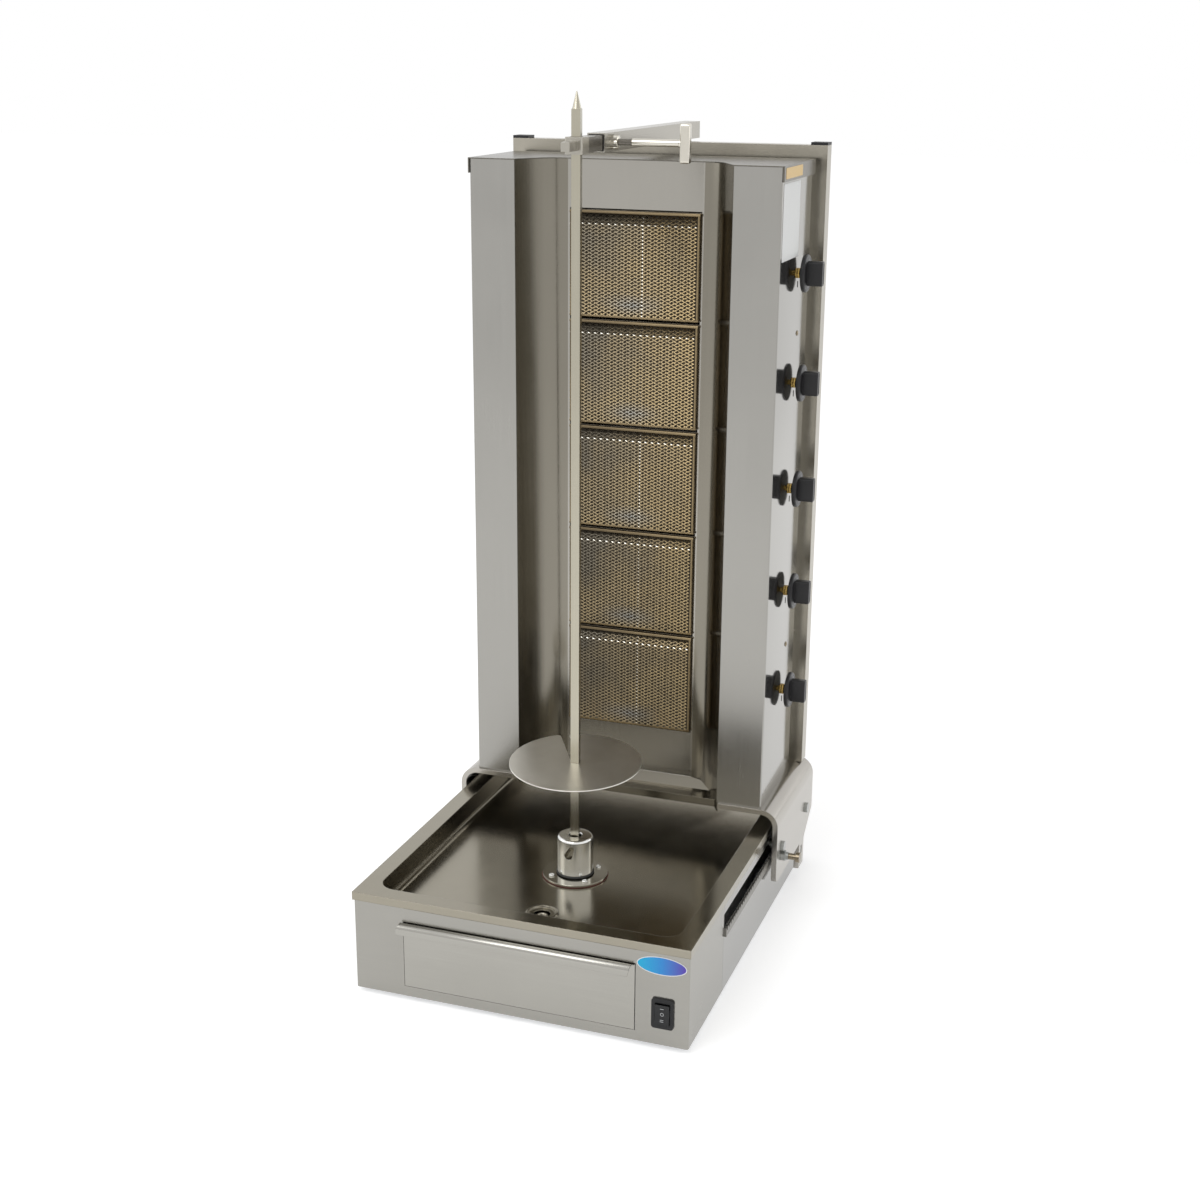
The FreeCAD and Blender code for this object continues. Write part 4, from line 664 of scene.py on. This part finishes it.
# Burners: five radiant burners, one above the other, each a pressed box that holds a pierced
# ceramic plate behind a screen of expanded metal in a folded frame, all browned by heat.
burner_steel = steel("burner_steel", (0.30, 0.27, 0.22), 0.4, along_x, wear=0.12)
dress([f"burner_{number}" for number in range(1, 6)], burner_steel)
# The ceramic plates are painted a dark brown, far darker than the ceramic itself: painted shade for the
# shadow they sit in behind the screens.
shaded_ceramic, shader, wire = new_material("ceramic_plate")
noise(wire, 16.0, 4.0).mix((0.055, 0.043, 0.028, 1), (0.11, 0.09, 0.062, 1)).into(shader, "Base Color")
shader.inputs["Roughness"].default_value = 0.9
place = wire.node("ShaderNodeTexCoord", output="Object")
holes = wire.node("ShaderNodeTexVoronoi", inputs={"Vector": place, "Scale": 520.0})
pierced = wire.node("ShaderNodeBump", inputs={"Strength": 0.6, "Distance": 0.6 * MM, "Height": holes})
pierced.into(shader, "Normal")
dress(["ceramic_plates"], shaded_ceramic)

screen_low, screen_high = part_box("mesh_screen_1")
burner_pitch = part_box("mesh_screen_2")[0].z - screen_low.z
screen_width = screen_high.x - screen_low.x
screen_height = screen_high.z - screen_low.z
mesh_y = screen_low.y + 1.6 * MM
columns, rows = 19, 29
strand, strand_depth, strand_twist = 1.05 * MM, 0.7 * MM, 24.0
side_margin, end_margin = 0.5 * MM, 1.5 * MM
cell_width = (screen_width - 2 * side_margin) / (columns + 0.5)
cell_height = (screen_height - 2 * end_margin) / rows
bend_z, lean_back = screen_high.z - 19.0 * MM, 16.0
glint_column_x = 13.0 * MM


def heat_tint(name, light, dark, roughness, polish_and_glints=False):
    """Steel browned by heat, grey at the upper left; on a screen, also polished knuckles with painted glints
    on them.
    """
    material, shader, wire = new_material(name)
    shader.inputs["Metallic"].default_value = 1.0
    place = wire.node("ShaderNodeTexCoord", output="Object")
    x = wire.node("ShaderNodeSeparateXYZ", inputs={"Vector": place})
    z = x.beside("Z")
    rise = wire.math("FRACT", (z - screen_low.z) * (1 / burner_pitch))
    across = x * 5.0 + 0.5
    cloud = noise(wire, 22.0, 5.0)
    grey_corner = rise * (1 - across)
    warm = wire.math("MINIMUM", cloud * 1.1 + across * 0.35 - grey_corner * 0.9, 1.0)
    bluish = wire.math("MAXIMUM", 1 - wire.math("ABSOLUTE", across - 0.5) * 4.0, 0.0)
    bluish = bluish * wire.math("MAXIMUM", 1 - wire.math("ABSOLUTE", rise - 0.12) * 9.0, 0.0)
    colour = (bluish * 0.75).mix(warm.mix(dark, light), (0.17, 0.185, 0.19, 1))
    if polish_and_glints:
        # Painted highlight: a pale colour on one column of knuckles and along the bend row stands in for
        # glints on polished knuckles.
        glint_column = wire.math("LESS_THAN", wire.math("ABSOLUTE", x - glint_column_x), 0.55 * MM)
        glint_column = glint_column * wire.math("LESS_THAN", wire.math("FRACT", z * (1 / cell_height)), 0.55)
        bend_rise = (bend_z - screen_low.z) / burner_pitch
        glint_row = wire.math("LESS_THAN", wire.math("ABSOLUTE", rise - bend_rise), 0.5 * MM / burner_pitch)
        glint_row = glint_row * wire.math("LESS_THAN", wire.math("FRACT", x * (1 / cell_width) + 0.25), 0.55)
        colour = wire.math("MAXIMUM", glint_column, glint_row).mix(colour, (0.80, 0.78, 0.70, 1))
    colour.into(shader, "Base Color")
    (cloud * 0.2 + (roughness - 0.1)).into(shader, "Roughness")
    crust = wire.node("ShaderNodeBump", inputs={
        "Strength": 0.6, "Distance": 0.3 * MM, "Height": noise(wire, 900.0, 2.0)})
    crust.into(shader, "Normal")
    return material


mesh_gold = heat_tint("heat_tinted_mesh", (0.31, 0.235, 0.125, 1), (0.11, 0.098, 0.076, 1), 0.30, polish_and_glints=True)
strip_gold = heat_tint("lip_gold", (0.26, 0.20, 0.115, 1), (0.13, 0.10, 0.06, 1), 0.42)

# The screen starts as one diamond of four strands, which is repeated in rows and columns
strand_angle = math.atan2(cell_height, cell_width)
first_x = screen_low.x + side_margin + cell_width / 2
first_cell = (first_x, mesh_y, screen_low.z + end_margin + cell_height / 2)
screen = start("screen_1", "circle", vertices=4, radius=0.5, fill_type="NGON", location=first_cell,
               rotation=(math.radians(90), 0, 0),
               scale=(cell_width + strand / math.sin(strand_angle),
                      cell_height + strand / math.cos(strand_angle), 1.0))
bpy.ops.mesh.select_all(action="SELECT")
bpy.ops.mesh.inset(thickness=strand, depth=0)
bpy.ops.mesh.delete(type="FACE")
bpy.ops.mesh.select_all(action="SELECT")
bpy.ops.transform.rotate(value=math.radians(strand_twist), orient_axis="X", center_override=first_cell)
bpy.ops.object.mode_set(mode="OBJECT")
for name, kind, settings in (
        ("depth", "SOLIDIFY", {"thickness": strand_depth, "offset": 0.0}),
        ("row", "ARRAY", {"count": columns, "constant_offset_displace": (cell_width, 0, 0)}),
        ("column", "ARRAY", {"count": rows, "constant_offset_displace": (0, 0, cell_height)})):
    modifier = screen.modifiers.new(name, kind)
    if kind == "ARRAY":
        modifier.use_relative_offset = False
        modifier.use_constant_offset = True
    for setting, value in settings.items():
        setattr(modifier, setting, value)
    bpy.ops.object.modifier_apply(modifier=name)
bpy.ops.object.mode_set(mode="EDIT")
pick("VERT", lambda vertex: vertex.co.z > bend_z)
bpy.ops.transform.rotate(value=math.radians(lean_back), orient_axis="X",
                         center_override=(0, mesh_y, bend_z))
finish(screen, mesh_gold, "carriage", smooth=20)
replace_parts(screen, "mesh_screen_1")


def folded_strip(name, back_y, back_z, steps, gauge):
    """A strip as wide as the screen: a back edge, folded on by steps of y and z in mm."""
    width = screen_width / 2
    y, z = back_y + steps[0][0] * MM, back_z + steps[0][1] * MM
    strip = start(name, "plane", size=1.0, location=(0, (back_y + y) / 2, back_z),
                  scale=(screen_width, back_y - y, 1.0))
    pick("EDGE", lambda edge: middle(edge).y < (back_y + y) / 2 - MM)
    bpy.ops.transform.translate(value=(0, 0, z - back_z))
    edge = (-width, width, y, z)
    for step_y, step_z in steps[1:]:
        edge = pull_edge(edge, (-width, width, edge[2] + step_y * MM, edge[3] + step_z * MM))
    bpy.ops.mesh.select_all(action="SELECT")
    bpy.ops.mesh.normals_make_consistent(inside=False)
    finish(strip, strip_gold, "carriage", thick=gauge)
    return strip


hood = folded_strip("hood_1", screen_high.y, screen_high.z,
                    [(-6.4, -0.1), (-0.6, -0.8), (-0.1, -2.6), (0.8, -0.4)], 0.7 * MM)
sill = folded_strip("screen_sill_1", screen_high.y, screen_low.z + 0.2 * MM,
                    [(-6.0, 0.2), (-0.6, 0.8), (-0.1, 1.6)], 0.6 * MM)

side_strips = []
for side, hand in ((-1, "left"), (1, "right")):
    strip_x = side * (screen_width / 2 - 0.2 * MM)
    strip = start(f"screen_side_{hand}_1", "plane", size=1.0, rotation=(0, math.radians(90), 0),
                  location=(strip_x, (mesh_y + screen_high.y) / 2, (screen_low.z + screen_high.z) / 2),
                  scale=(screen_height - 2.0 * MM, screen_high.y - mesh_y, 1.0))
    pick("EDGE", lambda edge: middle(edge).y < mesh_y + 0.1 * MM)
    for inward, forward in ((0.8, 0.8), (2.4, -0.2)):
        bpy.ops.mesh.extrude_region_move(
            TRANSFORM_OT_translate={"value": (-side * inward * MM, -forward * MM, 0)})
    bpy.ops.mesh.select_all(action="SELECT")
    bpy.ops.mesh.normals_make_consistent(inside=False)
    finish(strip, strip_gold, "carriage", thick=0.5 * MM)
    side_strips.append(strip)

for number in range(2, 6):
    up = Matrix.Translation((0, 0, burner_pitch * (number - 1)))
    copied(screen, f"screen_{number}", up, "carriage", f"mesh_screen_{number}")
    for strip in (hood, sill, *side_strips):
        copied(strip, strip.name[:-1] + str(number), up, "carriage")


# Gas train: an upright manifold, five brass valves with their spindles through the right-hand
# casing, each held by a nut, and a moulded black knob with a bar grip on each spindle.
brass = mottled("brass", (0.36, 0.22, 0.05), (0.78, 0.56, 0.20), 240.0, 5.0, 0.18, 0.2, metallic=1.0)
dress(["gas_valves"] + [f"spindle_{number}" for number in range(1, 6)], brass)

knob_black = plastic("knob_black", (0.0085, 0.0082, 0.009), 0.34)
knob_low, knob_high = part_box("knob_1")
knob_y, knob_z = (knob_low.y + knob_high.y) / 2, (knob_low.z + knob_high.z) / 2
knob_depth = knob_high.x - knob_low.x
skirt, grip_length, grip_width, grip_root = 6.0 * MM, 35.0 * MM, 14.0 * MM, 1.0 * MM
knob = start("knob_body_1", "cylinder", vertices=72, radius=(knob_high.z - knob_low.z) / 2, depth=skirt,
             location=(knob_low.x + skirt / 2, knob_y, knob_z), rotation=(0, math.radians(90), 0))
pick("FACE", lambda face: face.normal.x > 0.9)
bpy.ops.mesh.bevel(offset=2.6 * MM, segments=4, affect="EDGES")
pick("FACE", lambda face: face.normal.x > 0.999)
for width, lift in ((1.0, 0.0), (0.8, -0.5), (0.8, 0.5)):
    bpy.ops.mesh.inset(thickness=width * MM, depth=lift * MM)
bpy.ops.object.mode_set(mode="OBJECT")
grip = start("grip", "cube", size=1.0,
             location=((knob_low.x + skirt + knob_high.x - grip_root) / 2, knob_y, knob_z),
             scale=(knob_depth - skirt + grip_root, grip_width, grip_length))
pick("EDGE", lambda edge: abs(edge.verts[0].co.x - edge.verts[1].co.x) > MM)
bpy.ops.mesh.bevel(offset=3.2 * MM, segments=5, affect="EDGES")
pick("FACE", lambda face: face.normal.x > 0.9)
bpy.ops.mesh.bevel(offset=1.4 * MM, segments=3, affect="EDGES")
pick("FACE", lambda face: face.normal.x > 0.999)
for width, lift in ((1.6, 0.0), (0.4, -0.4)):
    bpy.ops.mesh.inset(thickness=width * MM, depth=lift * MM)
bpy.ops.object.mode_set(mode="OBJECT")
knob.select_set(True)
bpy.context.view_layer.objects.active = knob
bpy.ops.object.join()
finish(knob, knob_black, "knob_1")
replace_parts(knob, "knob_1")

nut_height = 3.2 * MM
spindle_nut = start("spindle_nut_1", "cylinder", vertices=6, radius=8.0 * MM, depth=nut_height,
                    location=(side_x + nut_height / 2, knob_y, knob_z), rotation=(0, math.radians(90), 0))
pick("FACE", lambda face: face.normal.x > 0.9)
bpy.ops.mesh.inset(thickness=1.4 * MM, depth=0.5 * MM)
bpy.ops.mesh.inset(thickness=1.0 * MM)
bpy.ops.mesh.extrude_region_move(TRANSFORM_OT_translate={"value": (1.2 * MM, 0, 0)})
finish(spindle_nut, brass, "carriage", bevel=0.3 * MM)

pointer_drop = 16.0 * MM
pointer = start("pointer_1", "plane", size=1.0,
                location=(side_x + 0.15 * MM, knob_y, knob_z - pointer_drop),
                rotation=(0, math.radians(90), 0), scale=(9.0 * MM, 2.6 * MM, 1.0))
bpy.ops.mesh.bevel(offset=0.5 * MM, segments=2, affect="VERTICES")
finish(pointer, moulded_black, "carriage", thick=-0.2 * MM)

for number in range(2, 6):
    up = Matrix.Translation((0, 0, burner_pitch * (number - 1)))
    copied(knob, f"knob_body_{number}", up, f"knob_{number}", f"knob_{number}")
    copied(spindle_nut, f"spindle_nut_{number}", up, "carriage")
    copied(pointer, f"pointer_{number}", up, "carriage")


# Rear frame and arm: square stainless tube with black caps; the inner tube slides in the outer
# one, whose mouth has a black plastic liner, and holds the spit's top bearing.
frame_steel = steel("frame_steel", (0.385, 0.36, 0.305), 0.24, (90, 90, 90))
dress(["rear_frame"], frame_steel)
arm_steel = steel("arm_steel", (0.40, 0.38, 0.335), 0.24, along_y)
dress(["outer_arm", "spit_bearing"], arm_steel)
inner_steel = steel("inner_arm_steel", (0.20, 0.185, 0.16), 0.26, along_y)
dress(["inner_arm"], inner_steel)

arm_low, arm_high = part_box("outer_arm")
arm_z = (arm_low.z + arm_high.z) / 2
liner_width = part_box("inner_arm")[1].x * 2 + 2.2 * MM
liner = start("arm_liner", "plane", size=1.0, location=(0, arm_low.y - 0.3 * MM, arm_z),
              rotation=(math.radians(90), 0, 0), scale=(liner_width, liner_width, 1.0))
bpy.ops.mesh.bevel(offset=1.5 * MM, segments=3, affect="VERTICES")
bpy.ops.mesh.select_all(action="SELECT")
bpy.ops.mesh.inset(thickness=2.0 * MM)
bpy.ops.mesh.delete(type="FACE")
finish(liner, moulded_black, "carriage", thick=0.8 * MM)


# Clamp screw: a nickel-plated rod with a dark threaded end and a flat cross handle with rounded
# edges; it turns in a hexagon nut welded to the outer arm and locks the inner one.
clamp_low, clamp_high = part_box("clamp_screw")
clamp_y, clamp_z = (clamp_low.y + clamp_high.y) / 2, (clamp_low.z + clamp_high.z) / 2
nickel = steel("nickel_plate", (0.62, 0.59, 0.52), 0.17, (120, 120, 120))
handle_thick, handle_width = 13.0 * MM, 12.0 * MM
handle = start("clamp_handle", "cube", size=1.0, location=(clamp_high.x - handle_thick / 2, clamp_y, clamp_z),
               scale=(handle_thick, handle_width, clamp_high.z - clamp_low.z))
pick("EDGE", lambda edge: abs(edge.verts[0].co.x - edge.verts[1].co.x) > MM)
bpy.ops.mesh.bevel(offset=3.5 * MM, segments=5, affect="EDGES")
finish(handle, nickel, "clamp", bevel=1.2 * MM, segments=3)
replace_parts(handle, "clamp_screw")

nut_face_x = arm_high.x
rod_radius, collar_radius = 5.0 * MM, 6.2 * MM
crest_radius, root_radius, thread_pitch = 4.5 * MM, 3.8 * MM, 1.5 * MM
thread_limit_x = nut_face_x + 20.0 * MM
thread_turns = int((thread_limit_x - clamp_low.x) / thread_pitch)
collar_x = clamp_high.x - handle_thick - 2.6 * MM
rod_profile = [(clamp_low.x, crest_radius)]
for number in range(thread_turns):
    root_x = clamp_low.x + (number + 0.5) * thread_pitch
    rod_profile += [(root_x, root_radius), (root_x + thread_pitch / 2, crest_radius)]
thread_end_x = rod_profile[-1][0]
rod_profile += [(thread_end_x + 0.4 * MM, rod_radius), (collar_x, rod_radius),
                (collar_x + 1.0 * MM, collar_radius), (collar_x + 3.5 * MM, collar_radius)]
rod = start("clamp_rod", "circle", vertices=40, radius=crest_radius, fill_type="NGON",
            location=(clamp_low.x, clamp_y, clamp_z), rotation=(0, math.radians(90), 0))
for (x, radius), (next_x, next_radius) in zip(rod_profile, rod_profile[1:]):
    bpy.ops.mesh.extrude_region_move(TRANSFORM_OT_translate={"value": (next_x - x, 0, 0)})
    factor = next_radius / radius
    bpy.ops.transform.resize(value=(1, factor, factor), center_override=(0, clamp_y, clamp_z))
bpy.ops.mesh.select_all(action="SELECT")
bpy.ops.mesh.normals_make_consistent(inside=False)
rod.data.materials.append(nickel)
rod.data.materials.append(inner_steel)
pick("FACE", lambda face: middle(face).x < thread_limit_x)
bpy.context.object.active_material_index = 1
bpy.ops.object.material_slot_assign()
finish(rod, None, "clamp", smooth=30)

clamp_nut = start("clamp_nut", "cylinder", vertices=6, radius=9.6 * MM, depth=8.2 * MM,
                  location=(nut_face_x - 4.0 * MM, clamp_y, clamp_z), rotation=(0, math.radians(90), 0))
for end in (-1, 1):
    pick("FACE", lambda face: end * face.normal.x > 0.9)
    bpy.ops.mesh.inset(thickness=1.2 * MM, depth=0.6 * MM)
finish(clamp_nut, nickel, "carriage", bevel=0.3 * MM)
